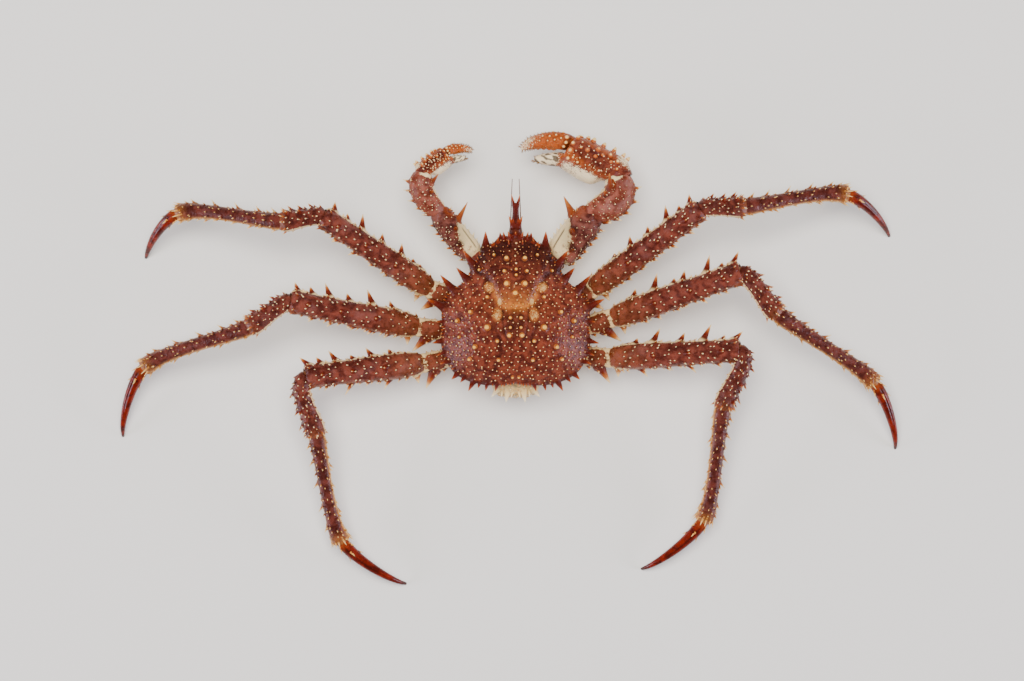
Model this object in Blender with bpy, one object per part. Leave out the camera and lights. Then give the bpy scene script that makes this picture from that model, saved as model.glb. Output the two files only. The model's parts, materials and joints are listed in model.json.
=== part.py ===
"""King crab, life size, standing still on its six walking legs.

Every plate of the shell is one closed solid.  The crab faces -Y and its back is +Z.
Sizes below are millimetres and degrees; the objects are built in metres.
"""
import math

import bmesh
import bpy
from mathutils import Matrix, Vector

MM = 0.001
GAP = 0.35                      # clear space left between neighbouring plates
STANCE_CENTRE = (5.6, 36.2)     # middle of the stance, which becomes the origin

# ---- carapace ----
CARAPACE_CENTRE_Y = 6.0
OUTLINE = (                     # angle from the front, distance to the edge
    (0, 74.0), (10, 76.0), (16, 71.5), (22, 72.5), (30, 65.0), (39, 60.5), (48, 57.6), (57, 59.2),
    (68, 64.0), (80, 64.0), (92, 62.5), (104, 65.5), (115, 66.5), (127, 66.5),
    (136, 64.0), (149, 59.0), (163, 54.0), (180, 50.0))
EDGE_HEIGHT = 49.0
EDGE_RISE_FRONT = 8.0
EDGE_RISE_REAR = 4.0
DOME_RISE = 23.0
DOME_POWER = 2.3
CARAPACE_FLOOR = 41.4           # underside, above the leg bases
SECTORS = 40
TOP_RINGS = (0.93, 0.80, 0.62, 0.42, 0.22)
SKIRT = ((0.70, 41.4), (0.86, 42.6), (0.97, 45.0))
REGIONS = (                     # swellings of the back: x, y, spread x, spread y, height
    (0.0, -38.0, 17.0, 15.0, 4.5), (0.0, 8.0, 10.0, 12.0, 3.0),
    (34.0, 16.0, 19.0, 22.0, 3.5), (-34.0, 16.0, 19.0, 22.0, 3.5),
    (17.0, -12.0, 6.0, 8.0, -2.0), (-17.0, -12.0, 6.0, 8.0, -2.0),
    (0.0, -9.0, 12.0, 3.0, -2.5), (0.0, 40.0, 14.0, 9.0, -1.5))
EDGE_SPINES = (                 # base x, y, tip x, y, rise, base radius
    (25.8, -60.5, 25.5, -72.7, 4.0, 3.6), (37.5, -47.0, 44.2, -56.6, 7.0, 4.0),
    (44.5, -35.0, 50.0, -42.2, 6.0, 3.4), (55.5, -24.0, 63.6, -36.0, 8.0, 3.8),
    (62.5, -9.0, 74.9, -15.7, 8.0, 3.8), (63.0, 3.0, 67.5, 3.5, 3.0, 2.2),
    (64.0, 20.0, 70.5, 21.6, 5.0, 2.6), (62.5, 30.0, 66.5, 32.0, 3.0, 2.2),
    (58.5, 37.5, 64.0, 39.2, 5.0, 2.8), (49.0, 47.0, 54.2, 52.2, 5.0, 2.8),
    (36.0, 54.0, 40.1, 62.1, 4.0, 2.6), (24.5, 56.0, 25.5, 61.7, 3.0, 2.2),
    (16.0, 57.0, 17.2, 62.2, 3.0, 2.2), (13.0, -67.0, 13.2, -72.0, 2.0, 2.0))
BACK_TUBERCLES = (              # x, y and height of the larger ones, on both sides
    (7.5, -49.3, 4.5), (9.1, -38.9, 3.0), (7.1, -28.3, 4.0), (23.2, -17.3, 3.0), (24.0, 8.5, 4.5),
    (34.0, 24.6, 4.0), (38.5, 34.8, 3.5), (37.7, -4.3, 3.5), (48.5, 2.7, 3.5),
    (15.8, 19.5, 3.0), (14.5, 35.1, 3.0), (18.0, -52.0, 2.5), (30.0, -40.0, 2.5))
MIDLINE_TUBERCLE = (0.4, -20.4, 3.5)
TUBERCLE_RADIUS = 2.4

# ---- rostrum ----
ROSTRUM_STATIONS = (            # y, height above the floor, half width, half thickness
    (-70.5, 58.6, 7.4, 3.0), (-74.5, 60.6, 4.9, 3.8), (-81.0, 62.5, 4.4, 3.4),
    (-87.5, 64.2, 2.6, 2.5), (-97.0, 66.5, 2.2, 2.1))
ROSTRUM_FORK = ((3.3, -103.2, 69.0), 1.6)      # tip, and the radius where it starts
ROSTRUM_SPINES = (              # root, tip, radius of the pairs beside the beak
    ((4.0, -80.0, 64.0), (5.8, -85.5, 67.5), 1.7), ((5.5, -66.0, 61.0), (6.6, -72.5, 66.5), 1.8))

# ---- limbs: start of the merus, base x and y, then length, heading and pitch of each plate ----
HIP_HEIGHT = 29.0
LEGS = {
    "leg1_R": ((-66.0, -24.9, 35.0), (36.5, -13.0), (116.5, 36.6, 17.5), (37.0, 3.0, -6.0),
               (95.5, 7.5, -17.0), (66.0, -39.0)),
    "leg2_R": ((-83.1, -0.1, 35.0), (36.5, 15.0), (117.5, 19.5, 16.5), (47.0, -47.5, -10.0),
               (109.0, -34.5, -16.0), (68.5, -68.5)),
    "leg3_R": ((-81.4, 34.1, 35.0), (36.5, 31.0), (110.5, 3.5, 14.0), (51.5, -104.5, -13.5),
               (103.0, -98.5, -16.0), (71.0, -140.0)),
    "leg1_L": ((73.2, -24.9, 35.0), (36.5, -13.0), (112.5, 34.0, 18.0), (34.5, -6.5, -6.5),
               (96.5, 5.0, -17.0), (62.0, -48.0)),
    "leg2_L": ((84.3, 7.6, 35.0), (36.5, 15.0), (112.0, 11.5, 17.0), (41.5, -31.5, -11.0),
               (104.5, -20.5, -17.0), (70.5, -69.0)),
    "leg3_L": ((80.0, 38.8, 35.0), (36.5, 31.0), (101.0, -6.5, 15.5), (51.5, -99.0, -13.5),
               (98.5, -102.0, -16.5), (70.0, -144.5)),
}
FRONT_SPINES = {                # along the merus, reach of the tip from its middle line
    "leg1_R": ((.29, 13.5), (.46, 17.5), (.61, 15.0), (.81, 20.0), (.89, 13.5), (1.0, 14.5)),
    "leg2_R": ((.23, 17.0), (.42, 23.0), (.53, 14.5), (.62, 17.5), (.83, 22.5), (.90, 13.5),
               (1.04, 16.5)),
    "leg3_R": ((.22, 15.5), (.40, 22.5), (.59, 17.5), (.80, 23.0), (.90, 13.5), (1.04, 14.5)),
    "leg1_L": ((.24, 13.5), (.38, 18.5), (.55, 16.5), (.76, 20.5), (.86, 14.0), (.99, 15.0)),
    "leg2_L": ((.25, 17.0), (.44, 22.5), (.59, 16.0), (.77, 20.5), (.88, 15.5), (1.0, 15.0)),
    "leg3_L": ((.28, 15.5), (.47, 18.5), (.61, 14.0), (.79, 19.5), (.90, 15.5), (1.04, 15.5)),
}
REAR_SPINES = {
    "leg1_R": ((.28, 13.0), (.40, 12.0), (.52, 12.5), (.70, 14.0), (.86, 13.0)),
    "leg2_R": ((.24, 13.5), (.34, 14.0), (.49, 12.5), (.70, 14.0), (.87, 12.5)),
    "leg3_R": ((.28, 17.0), (.46, 13.0), (.66, 16.0), (.86, 13.0)),
    "leg1_L": ((.24, 13.5), (.36, 12.5), (.50, 12.0), (.68, 14.0), (.84, 12.5)),
    "leg2_L": ((.24, 14.0), (.37, 13.5), (.51, 13.0), (.69, 14.0), (.84, 13.0)),
    "leg3_L": ((.35, 17.0), (.50, 12.5), (.69, 18.0), (.86, 12.5)),
}
SPUR_REACH = {"leg1": 18.5, "leg2": 20.5, "leg3": 20.5}
SPUR = (190, 4.6, 0.7)          # degrees round, base radius, lean
HEEL = (.045, 180, 16.5, 4.4, -0.15)     # corner behind the joint: place, degrees, reach
SPINE_RADIUS = {"front": 2.6, "rear": 2.0}
MERUS_GIRTH = {"leg1": 1.0, "leg2": 1.05, "leg3": 1.05}
LEG_SPINES = {                  # place along, degrees round from the front, reach, base radius
    "base": (),
    "merus": ((.36, 90, 13.5, 2.0), (.64, 90, 13.5, 2.0), (.90, 90, 13.5, 2.0)),
    "carpus": ((.40, 0, 12.0, 1.7), (.64, 0, 12.5, 1.7), (.86, 0, 14.0, 1.7),
               (.62, 45, 11.5, 1.6), (.88, 45, 12.5, 1.6)),
    "propodus": ((.15, 0, 11.0, 1.4), (.31, 0, 11.0, 1.4), (.49, 0, 11.0, 1.4),
                 (.67, 0, 11.0, 1.4), (.84, 0, 11.0, 1.4), (.35, 180, 9.5, 1.2),
                 (.71, 180, 9.5, 1.2), (.96, 45, 11.5, 1.6)),
    "dactyl": (),
}
CLAWS = {                       # the same, ending in the pincer's heading, pitch and scale
    "claw_R": ((-35.8, -51.8, 34.0), (28.2, -35.0), (46.5, 51.5, 15.0), (38.5, 53.0, 3.0),
               (149.0, -9.0, 1.0)),
    "claw_L": ((35.3, -53.4, 34.0), (28.2, -35.0), (48.0, 50.5, 14.5), (35.0, 66.0, 6.5),
               (140.0, -14.0, 0.55)),
}
CLAW_GIRTH = {"claw_R": 1.0, "claw_L": 0.74}
CARPUS_BOW = {"claw_R": 4.8, "claw_L": 2.5}     # how far the carpus bulges outward
WRIST = {"claw_R": (1.0, 12.4, 9.6), "claw_L": (0.5, 6.6, 5.2)}    # outward, half width, height
CLAW_ROOT_WAY = (0.75, -0.65, 0.05)
CLAW_SPINES = {                 # place, degrees from the inner side, height, base radius
    "base": (),
    "merus": ((.30, 0, 3.5, 1.9), (.55, 0, 3.5, 1.9), (.25, 180, 4.5, 1.9), (.48, 180, 4.5, 1.9),
              (.70, 180, 4.5, 1.9), (.92, 180, 4.5, 1.9), (.60, 90, 3.0, 1.9)),
    "carpus": ((.22, 180, 5.0, 2.2), (.42, 180, 5.0, 2.2), (.62, 180, 5.0, 2.2),
               (.86, 180, 5.0, 2.2), (.35, 135, 3.0, 2.0), (.72, 135, 3.0, 2.0)),
}
CARPUS_HORN = {"claw_R": (0.92, 50, 25.0), "claw_L": (0.92, 15, 17.0)}
MERUS_HORN = {"claw_R": (1.0, 25.2, 0.55), "claw_L": (0.86, 25.3, 0.5)}    # place, reach, lean
HORN_RADIUS = (3.4, 3.2)        # of the merus and the carpus horn
HORN_TURN = 8                   # degrees above the inner edge, for the merus horn
CARPUS_HORN_LEAN = 0.8

# ---- plate profiles: place along the plate, half width; the height is a share of it ----
BASE_PROFILE = ((0, 6.2), (.2, 7.2), (.45, 6.9), (.72, 9.0), (1, 7.6))
MERUS_PROFILE = ((0, 7.8), (.05, 9.6), (.16, 10.6), (.30, 10.7), (.44, 10.4), (.57, 10.0),
                 (.70, 9.7), (.83, 9.4), (.95, 9.5), (1, 8.0))
CARPUS_PROFILE = ((0, 6.2), (.18, 7.4), (.42, 7.5), (.66, 7.9), (.90, 8.9), (1, 7.4))
PROPODUS_PROFILE = ((0, 6.5), (.06, 7.4), (.22, 6.7), (.40, 6.1), (.58, 6.0), (.76, 6.6),
                    (.93, 7.8), (1, 5.8))
DACTYL_PROFILE = ((0, 4.8), (.10, 5.4), (.30, 4.7), (.52, 3.8), (.74, 2.7), (1, 1.3))
CLAW_MERUS_PROFILE = ((0, 10.0), (.10, 13.0), (.35, 14.3), (.62, 14.2), (.88, 13.8), (1, 11.0))
CLAW_CARPUS_PROFILE = ((0, 9.8), (.16, 11.8), (.42, 13.3), (.70, 13.8), (.90, 13.4), (1, 11.4))
PALM_STATIONS = (               # along, towards the inner side, turn, half width, half height
    (6, -2.6, -30, 14.8, 10.8), (13, -1.6, -12, 16.4, 11.8), (21, -0.1, 0, 16.9, 12.6),
    (31, 0.4, 0, 17.2, 13.0), (42, 0.9, 0, 16.4, 12.4), (49, 1.8, 0, 15.0, 11.4),
    (50.5, 10.0, 0, 6.8, 7.6), (58.0, 13.7, 24, 6.4, 6.6), (65.5, 18.1, 28, 5.0, 4.8),
    (71.0, 21.7, 30, 2.1, 2.2))
FINGER_PATH = ((50.2, -5.9), (59.0, -3.2), (69.0, 2.1), (79.5, 10.8), (84.8, 20.0))
FINGER_PROFILE = ((0, 6.5), (.08, 7.3), (.28, 7.6), (.50, 7.0), (.70, 5.8), (.88, 3.8),
                  (1, 1.3))     # the path is along and across from the wrist
FINGER_FLAT = 0.88
PALM_EDGE_SPINES = ((14, 2.8), (24, 3.2), (34, 3.2), (44, 2.7))     # along, height
PALM_EDGE = 17.5
PALM_SPINE = (3, 2.0)           # how far a tip leans along, base radius
PALM_TOP_TUBERCLES = ((20, -6), (32, -6), (44, -5), (38, 6))        # along, across
PALM_TOP = 12.0
TUBERCLE_TALL = 3.4
LEG_SIDES = 8
DACTYL_SIDES = 6
CLAW_SIDES = 10
KNEE_SHARE = 0.40               # how much of a bend the far side of a joint takes
KNEE_PULL = {"leg1": 0.55, "leg2": 0.55, "leg3": 0.85}    # how late the carpus turns
PROPODUS_PULL = 0.6
DACTYL_PULL = 0.85
DACTYL_IN = (10, -12)           # turn from the foot's heading, and pitch, at the joint
DACTYL_OUT = (-20, -58)         # the same at the tip
ANKLE_SHARE = 0.6
SHOULDER_SHARE = 0.7
ROOT_RUN = 60                   # length over which a limb turns out of the body
ROOT_RISE = 0.02

# ---- underside ----
THORAX_STATIONS = (             # y, half width, top, bottom
    (-62.0, 14.0, 40.0, 30.0), (-52.0, 20.0, 40.8, 21.0), (-36.0, 20.5, 41.0, 17.0),
    (-24.0, 30.5, 41.0, 15.5), (0.0, 35.5, 41.0, 15.0), (24.0, 35.5, 41.0, 15.5),
    (40.0, 30.0, 41.0, 19.0), (50.0, 20.0, 40.5, 26.0))
ABDOMEN_PATH = (                # y, z, half width, half thickness along the folded tail
    (51.5, 37.0, 14.5, 2.8), (57.0, 38.4, 15.5, 3.2), (62.3, 36.4, 16.5, 3.2),
    (64.5, 30.0, 19.0, 3.2), (61.5, 20.5, 23.5, 3.4), (48.0, 12.2, 25.0, 3.4),
    (28.0, 9.6, 23.0, 3.2), (8.0, 9.4, 17.0, 3.0), (-8.0, 9.8, 10.0, 2.6),
    (-16.0, 10.2, 4.0, 2.0))
ABDOMEN_SPINES = ((20.5, 67.5, 42.0, 13.5, 58.5), (8.2, 72.0, 42.0, 6.5, 61.0))
ABDOMEN_SPINE_ROOT = (41, 2.6)  # height and radius of the base
EYE_ROOT = (8.5, -58.0, 43.2)
EYE_TIP = (12.0, -69.5, 48.6)
EYE_PROFILE = ((0, 2.4), (.35, 2.3), (.62, 2.6), (.74, 3.4), (.90, 3.1), (1, 1.6))
ANTENNULE_PATH = ((4.2, -65.0, 44.5), (4.6, -73.0, 47.5), (4.2, -84.0, 52.0),
                  (3.6, -100.0, 58.5), (2.9, -117.0, 63.0))
ANTENNULE_PROFILE = ((0, 1.9), (.10, 1.9), (.22, 1.5), (.34, 0.7), (.7, 0.45), (1, 0.3))
ANTENNA_PATH = ((17.5, -56.0, 43.0), (20.0, -62.0, 40.0), (22.5, -62.5, 32.0),
                (24.0, -55.0, 20.0), (23.0, -41.0, 11.0), (20.0, -25.0, 7.2), (17.5, -8.0, 4.8))
ANTENNA_PROFILE = ((0, 3.2), (.04, 3.2), (.08, 2.0), (.12, 1.0), (.4, 0.8), (.7, 0.6), (1, 0.4))
MAXILLIPED_PATH = ((9.0, -46.0, 15.6), (10.5, -57.0, 18.5), (10.5, -64.5, 22.5),
                   (7.5, -68.5, 16.5), (4.6, -64.5, 11.0))
MAXILLIPED_PROFILE = ((0, 2.8), (.2, 3.6), (.42, 3.4), (.6, 2.9), (.8, 2.6), (1, 1.7))

COLOURS = {                     # base colour, roughness
    "shell": ((0.16, 0.035, 0.022), 0.42), "leg": ((0.20, 0.045, 0.026), 0.45),
    "dactyl": ((0.24, 0.04, 0.016), 0.28), "claw": ((0.45, 0.13, 0.045), 0.40),
    "pale": ((0.62, 0.50, 0.33), 0.55), "eye": ((0.01, 0.008, 0.008), 0.12),
    "feeler": ((0.20, 0.06, 0.035), 0.5),
}


# ---- small helpers ----
def blendTable(table, x):
    """Smooth curve through (place, value) pairs, read at x."""
    places = [row[0] for row in table]
    values = [row[1] for row in table]
    x = min(max(x, places[0]), places[-1])
    i = max(k for k in range(len(places) - 1) if places[k] <= x)

    def slope(k):
        low, high = max(k - 1, 0), min(k + 1, len(places) - 1)
        return (values[high] - values[low]) / (places[high] - places[low])

    span = places[i + 1] - places[i]
    t = (x - places[i]) / span
    a, b = slope(i) * span, slope(i + 1) * span
    return ((2 * t**3 - 3 * t**2 + 1) * values[i] + (t**3 - 2 * t**2 + t) * a
            + (3 * t**2 - 2 * t**3) * values[i + 1] + (t**3 - t**2) * b)


def bearing(side, heading, pitch):
    """Unit vector: heading is degrees forward of straight out to that side."""
    h, p = math.radians(heading), math.radians(pitch)
    return Vector((side * math.cos(h) * math.cos(p), -math.sin(h) * math.cos(p), math.sin(p)))


def ringFrame(centre, along, wide, high, across):
    """Matrix that puts the unit circle on a plate's section at centre."""
    along = along.normalized()
    across = (across - along * across.dot(along)).normalized()
    up = along.cross(across)
    frame = Matrix((across * wide, up * high, along)).transposed().to_4x4()
    frame.translation = centre
    return frame


def drawOut(bm, face, keep):
    """Extrude a cap face in place and return the new cap; keep leaves the old one as an end."""
    grown = bmesh.ops.extrude_face_region(bm, geom=[face])["geom"]
    if not keep:
        bmesh.ops.delete(bm, geom=[face], context="FACES_ONLY")
    return next(g for g in grown if isinstance(g, bmesh.types.BMFace))


def loft(bm, frames, sides, turn=0.5):
    """Closed body through the framed sections; turn is a share of one side."""
    spin = Matrix.Rotation(turn * 2 * math.pi / sides, 4, "Z")
    bmesh.ops.create_circle(bm, cap_ends=True, segments=sides, radius=1, matrix=frames[0] @ spin)
    bm.faces.ensure_lookup_table()
    face = bm.faces[0]
    for before, after in zip(frames, frames[1:]):
        face = drawOut(bm, face, before is frames[0])
        bmesh.ops.transform(bm, matrix=after @ before.inverted(), verts=face.verts[:])
    bmesh.ops.recalc_face_normals(bm, faces=bm.faces)
    return face


def growSpine(bm, base, tip, radius, used):
    """Raise a four-sided spine to tip from the free face nearest to base."""
    free = [f for f in bm.faces if f not in used and len(f.verts) == 4]
    crown = min(free, key=lambda f: (f.calc_center_median() - base).length_squared)
    border = bmesh.ops.inset_individual(bm, faces=[crown], thickness=0.05)["faces"]
    centre = crown.calc_center_median()
    reach = min((v.co - centre).length for v in crown.verts)
    inner = min((0.5 * (e.verts[0].co + e.verts[1].co) - centre).length for e in crown.edges)
    share = min(radius / reach, 0.72)
    shift = base - centre
    shift -= crown.normal * shift.dot(crown.normal)
    room = inner * (0.9 - share)
    if shift.length > room:
        shift *= room / shift.length
    for v in crown.verts:
        v.co = centre + shift + (v.co - centre) * share
    top = bmesh.ops.poke(bm, faces=[crown])["verts"][0]
    top.co = tip
    used.update(border)
    used.update(top.link_faces)


def material(name, colour, roughness):
    m = bpy.data.materials.new(name)
    m.use_nodes = True
    shader = m.node_tree.nodes["Principled BSDF"]
    shader.inputs["Base Color"].default_value = (*colour, 1)
    shader.inputs["Roughness"].default_value = roughness
    m.diffuse_color = (*colour, 1)
    return m


def finish(bm, name, kind, parent, origin, smooth=40):
    """Turn a millimetre mesh into an object of its own with its origin at a joint."""
    bmesh.ops.remove_doubles(bm, verts=bm.verts, dist=0.01)
    bmesh.ops.triangulate(bm, faces=bm.faces, quad_method="SHORT_EDGE")
    bmesh.ops.recalc_face_normals(bm, faces=bm.faces)
    bmesh.ops.translate(bm, verts=bm.verts, vec=-Vector(origin))
    bmesh.ops.scale(bm, verts=bm.verts, vec=(MM, MM, MM))
    mesh = bpy.data.meshes.new(name)
    bm.to_mesh(mesh)
    bm.free()
    obj = bpy.data.objects.new(name, mesh)
    mesh.shade_smooth()
    mesh.set_sharp_from_angle(angle=math.radians(smooth))
    colour, roughness = COLOURS[kind]
    mesh.materials.append(material(name + "_" + kind, colour, roughness))
    obj.location = Vector(origin) * MM
    obj.parent = parent
    bpy.data.collections["king_crab"].objects.link(obj)
    return obj


def curveThrough(points, t):
    """Point and direction at share t of a smooth curve through the points."""
    points = [Vector(p) for p in points]
    n = len(points) - 1
    x = min(max(t, 0.0), 1.0) * n
    i = min(int(x), n - 1)
    u = x - i
    a, b = points[i], points[i + 1]
    ta = (b - points[i - 1]) / 2 if i > 0 else b - a
    tb = (points[i + 2] - a) / 2 if i + 2 <= n else b - a
    place = ((2 * u**3 - 3 * u**2 + 1) * a + (u**3 - 2 * u**2 + u) * ta
             + (3 * u**2 - 2 * u**3) * b + (u**3 - u**2) * tb)
    along = ((6 * u**2 - 6 * u) * a + (3 * u**2 - 4 * u + 1) * ta
             + (6 * u - 6 * u**2) * b + (3 * u**2 - 2 * u) * tb)
    return place, along.normalized()


# ---- limbs ----
class Plate:
    """One limb plate: a curved middle line between two joints, with its sections."""

    def __init__(self, start, end, leave, arrive, side, profile, flatness, girth=1.0, bow=0.0):
        self.side, self.profile, self.flat, self.girth = side, profile, flatness, girth
        self.bow = Vector((0, 0, 1)).cross(end - start).normalized() * side * bow
        length = (end - start).length
        self.a, self.b = start + leave * GAP / 2, end - arrive * GAP / 2
        self.ta, self.tb = leave * length, arrive * length
        self.length = length

    def at(self, t):
        place = ((2 * t**3 - 3 * t**2 + 1) * self.a + (t**3 - 2 * t**2 + t) * self.ta
                 + (3 * t**2 - 2 * t**3) * self.b + (t**3 - t**2) * self.tb)
        along = ((6 * t**2 - 6 * t) * self.a + (3 * t**2 - 4 * t + 1) * self.ta
                 + (6 * t - 6 * t**2) * self.b + (3 * t**2 - 2 * t) * self.tb)
        return place + self.bow * 4 * t * (1 - t), along.normalized()

    def axes(self, along):
        front = Vector((0, 0, 1)).cross(along) * -self.side
        front.normalize()
        up = along.cross(front)
        return front, up if up.z > 0 else -up

    def halfWidth(self, t):
        return blendTable(self.profile, t) * self.girth

    def frames(self):
        made = []
        for t, _ in self.profile:
            place, along = self.at(t)
            front, _ = self.axes(along)
            half = self.halfWidth(t)
            made.append(ringFrame(place, along, half, half * self.flat, front))
        return made

    def skinPoint(self, t, degrees):
        """Surface point: 0 degrees is the front edge, 90 the top, 180 the rear edge."""
        place, along = self.at(t)
        front, up = self.axes(along)
        half, a = self.halfWidth(t), math.radians(degrees)
        out = front * math.cos(a) + up * math.sin(a) * self.flat
        return place + out * half, out.normalized(), along

    def spine(self, bm, t, degrees, reach, radius, used, lean=0.45):
        """Spine whose tip stands at t along the plate, reach from its middle line."""
        tall = max(reach - self.halfWidth(t) * (1 if abs(math.cos(math.radians(degrees))) > .5
                                                 else self.flat), 1.5)
        root = min(max(t - lean * tall / self.length, 0.03), 0.97)
        base, out, along = self.skinPoint(root, degrees)
        tip = base + out * tall + along * (t - root) * self.length
        growSpine(bm, base, tip, radius, used)


def joints(side, start, plates):
    """Joint places down a limb from its plates' lengths, headings and pitches."""
    places, ways = [Vector(start)], []
    for length, heading, pitch in plates:
        way = bearing(side, heading, pitch)
        places.append(places[-1] + way * length)
        ways.append(way)
    return places, ways


def bend(before, after, share=KNEE_SHARE):
    return (before * (1 - share) + after * share).normalized()


def makeLeg(name, parent):
    side = 1 if name.endswith("L") else -1
    start, coxa, merus, carpus, propodus, (reach, heading) = LEGS[name]
    places, ways = joints(side, start, (merus, carpus, propodus))
    drop = places[3].z
    foot_way = bearing(side, heading, -math.degrees(math.asin(drop / reach)))
    places.append(places[3] + foot_way * reach)
    hip = Vector((side * coxa[0], coxa[1], HIP_HEIGHT))
    root_way = Vector((side, (start[1] - coxa[1]) / ROOT_RUN, ROOT_RISE)).normalized()
    leave = [bend(root_way, ways[0], SHOULDER_SHARE), bend(ways[0], ways[1]),
             bend(ways[1], ways[2], 0.5)]
    dactyl_in = bearing(side, heading + DACTYL_IN[0], DACTYL_IN[1])
    dactyl_out = bearing(side, heading + DACTYL_OUT[0], DACTYL_OUT[1])
    leave.append(bend(ways[2], dactyl_in, ANKLE_SHARE))

    base = Plate(hip, places[0], root_way, leave[0], side, BASE_PROFILE, 0.92)
    upper = Plate(places[0], places[1], leave[0], leave[1], side, MERUS_PROFILE, 0.95,
                  MERUS_GIRTH[name[:4]])
    upper.ta, upper.tb = ways[0] * merus[0], ways[0] * merus[0]
    knee = Plate(places[1], places[2], leave[1], leave[2], side, CARPUS_PROFILE, 0.95)
    knee.ta *= KNEE_PULL[name[:4]]
    lower = Plate(places[2], places[3], leave[2], leave[3], side, PROPODUS_PROFILE, 0.95)
    lower.ta, lower.tb = lower.ta * PROPODUS_PULL, lower.tb * PROPODUS_PULL
    toe = Plate(places[3], places[4], leave[3], dactyl_out, side, DACTYL_PROFILE, 0.92)
    toe.ta, toe.tb = toe.ta * DACTYL_PULL, toe.tb * DACTYL_PULL
    toe.b = places[4]

    bodies = (("base", base), ("merus", upper), ("carpus", knee), ("propodus", lower),
              ("dactyl", toe))
    for part, plate in bodies:
        bm = bmesh.new()
        frames = plate.frames()
        used = set()
        if part == "merus":
            frames[0] = ringFrame(plate.a, leave[0], plate.halfWidth(0),
                                  plate.halfWidth(0) * .95, plate.axes(leave[0])[0])
            frames[-1] = ringFrame(plate.b, leave[1], plate.halfWidth(1),
                                   plate.halfWidth(1) * .95, plate.axes(leave[1])[0])
        end = loft(bm, frames, DACTYL_SIDES if part == "dactyl" else LEG_SIDES,
                   0.0 if part == "dactyl" else 0.5)
        if part == "dactyl":
            for v in end.verts:
                v.co -= dactyl_out * (v.co.z / dactyl_out.z)
        bm.normal_update()
        if part == "base":
            degrees, radius, lean = SPUR
            plate.spine(bm, 1.0, degrees, SPUR_REACH[name[:4]], radius, used, lean)
        if part == "merus":
            t, degrees, far, radius, lean = HEEL
            plate.spine(bm, t, degrees, far, radius, used, lean)
            for t, far in FRONT_SPINES[name]:
                plate.spine(bm, t, 0, far, SPINE_RADIUS["front"], used)
            for t, far in REAR_SPINES[name]:
                plate.spine(bm, t, 180, far, SPINE_RADIUS["rear"], used)
        for t, degrees, far, radius in LEG_SPINES[part]:
            plate.spine(bm, t, degrees, far, radius, used)
        kind = "dactyl" if part == "dactyl" else "leg"
        finish(bm, name + "_" + part, kind, parent, plate.a)


def makeClaw(name, parent):
    side = 1 if name.endswith("L") else -1
    start, coxa, merus, carpus, (palm_heading, palm_pitch, scale) = CLAWS[name]
    girth = CLAW_GIRTH[name]
    places, ways = joints(side, start, (merus, carpus))
    palm_way = bearing(side, palm_heading, palm_pitch)
    hip = Vector((side * coxa[0], coxa[1], HIP_HEIGHT))
    x, y, z = CLAW_ROOT_WAY
    root_way = Vector((side * x, y, z)).normalized()
    shoulder = bend(root_way, ways[0], 0.6)
    elbow = bend(ways[0], ways[1], 0.5)
    wrist = bend(ways[1], palm_way, 0.5)

    base = Plate(hip, places[0], root_way, shoulder, side, BASE_PROFILE, 0.95)
    upper = Plate(places[0], places[1], shoulder, elbow, side, CLAW_MERUS_PROFILE, 0.80, girth)
    knee = Plate(places[1], places[2], elbow, wrist, side, CLAW_CARPUS_PROFILE, 0.84, girth,
                 CARPUS_BOW[name])
    for part, plate in (("base", base), ("merus", upper), ("carpus", knee)):
        bm = bmesh.new()
        used = set()
        loft(bm, plate.frames(), LEG_SIDES if part == "base" else CLAW_SIDES, 0.5)
        bm.normal_update()
        if part == "merus":
            t, far, lean = MERUS_HORN[name]
            plate.spine(bm, t, HORN_TURN, far, HORN_RADIUS[0] * girth, used, lean)
        if part == "carpus":
            plate.spine(bm, *CARPUS_HORN[name], HORN_RADIUS[1] * girth, used,
                        CARPUS_HORN_LEAN)
        for t, degrees, tall, radius in CLAW_SPINES[part]:
            half = plate.halfWidth(t) * (plate.flat if degrees == 90 else 1)
            plate.spine(bm, t, degrees, half + tall, radius, used)
        finish(bm, name + "_" + part, "leg", parent, plate.a)

    # palm and fixed finger in one, then the movable finger beside it
    level = Vector((palm_way.x, palm_way.y, 0)).normalized()
    inner = Vector((0, 0, 1)).cross(level) * -side
    origin = places[2] + wrist * GAP

    def palmPoint(along, across):
        return origin + (palm_way * along + inner * across) * scale

    frames = []
    for along, across, turn, wide, high in PALM_STATIONS:
        a = math.radians(turn)
        way = palm_way * math.cos(a) + inner * math.sin(a)
        frames.append(ringFrame(palmPoint(along, across), way, wide * scale, high * scale,
                                inner * math.cos(a) - palm_way * math.sin(a)))
    outward, wide, high = WRIST[name]
    frames.insert(0, ringFrame(origin - inner * outward, wrist, wide, high, inner))
    bm = bmesh.new()
    used = set()
    loft(bm, frames, CLAW_SIDES, 0.5)
    bm.normal_update()
    lean, radius = PALM_SPINE
    for along, tall in PALM_EDGE_SPINES:
        tip = palmPoint(along + lean, -PALM_EDGE - tall)
        growSpine(bm, palmPoint(along, -PALM_EDGE), tip, radius * scale, used)
    for along, across in PALM_TOP_TUBERCLES:
        root = palmPoint(along, across) + Vector((0, 0, PALM_TOP * scale))
        growSpine(bm, root, root + Vector((0, 0, TUBERCLE_TALL * scale)), radius * scale, used)
    finish(bm, name + "_palm", "claw", parent, origin)

    points = [palmPoint(*p) + palm_way * GAP for p in FINGER_PATH]
    bm = bmesh.new()
    frames = []
    for t, half in FINGER_PROFILE:
        place, along = curveThrough(points, t)
        if t == 0:
            along = palm_way
        frames.append(ringFrame(place, along, half * scale, half * scale * FINGER_FLAT,
                                Vector((0, 0, 1)).cross(along)))
    loft(bm, frames, LEG_SIDES, 0.5)
    finish(bm, name + "_finger", "claw", parent, points[0])


# ---- body ----
def outlineRadius(angle):
    return blendTable(OUTLINE, math.degrees(abs(angle)))


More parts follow.
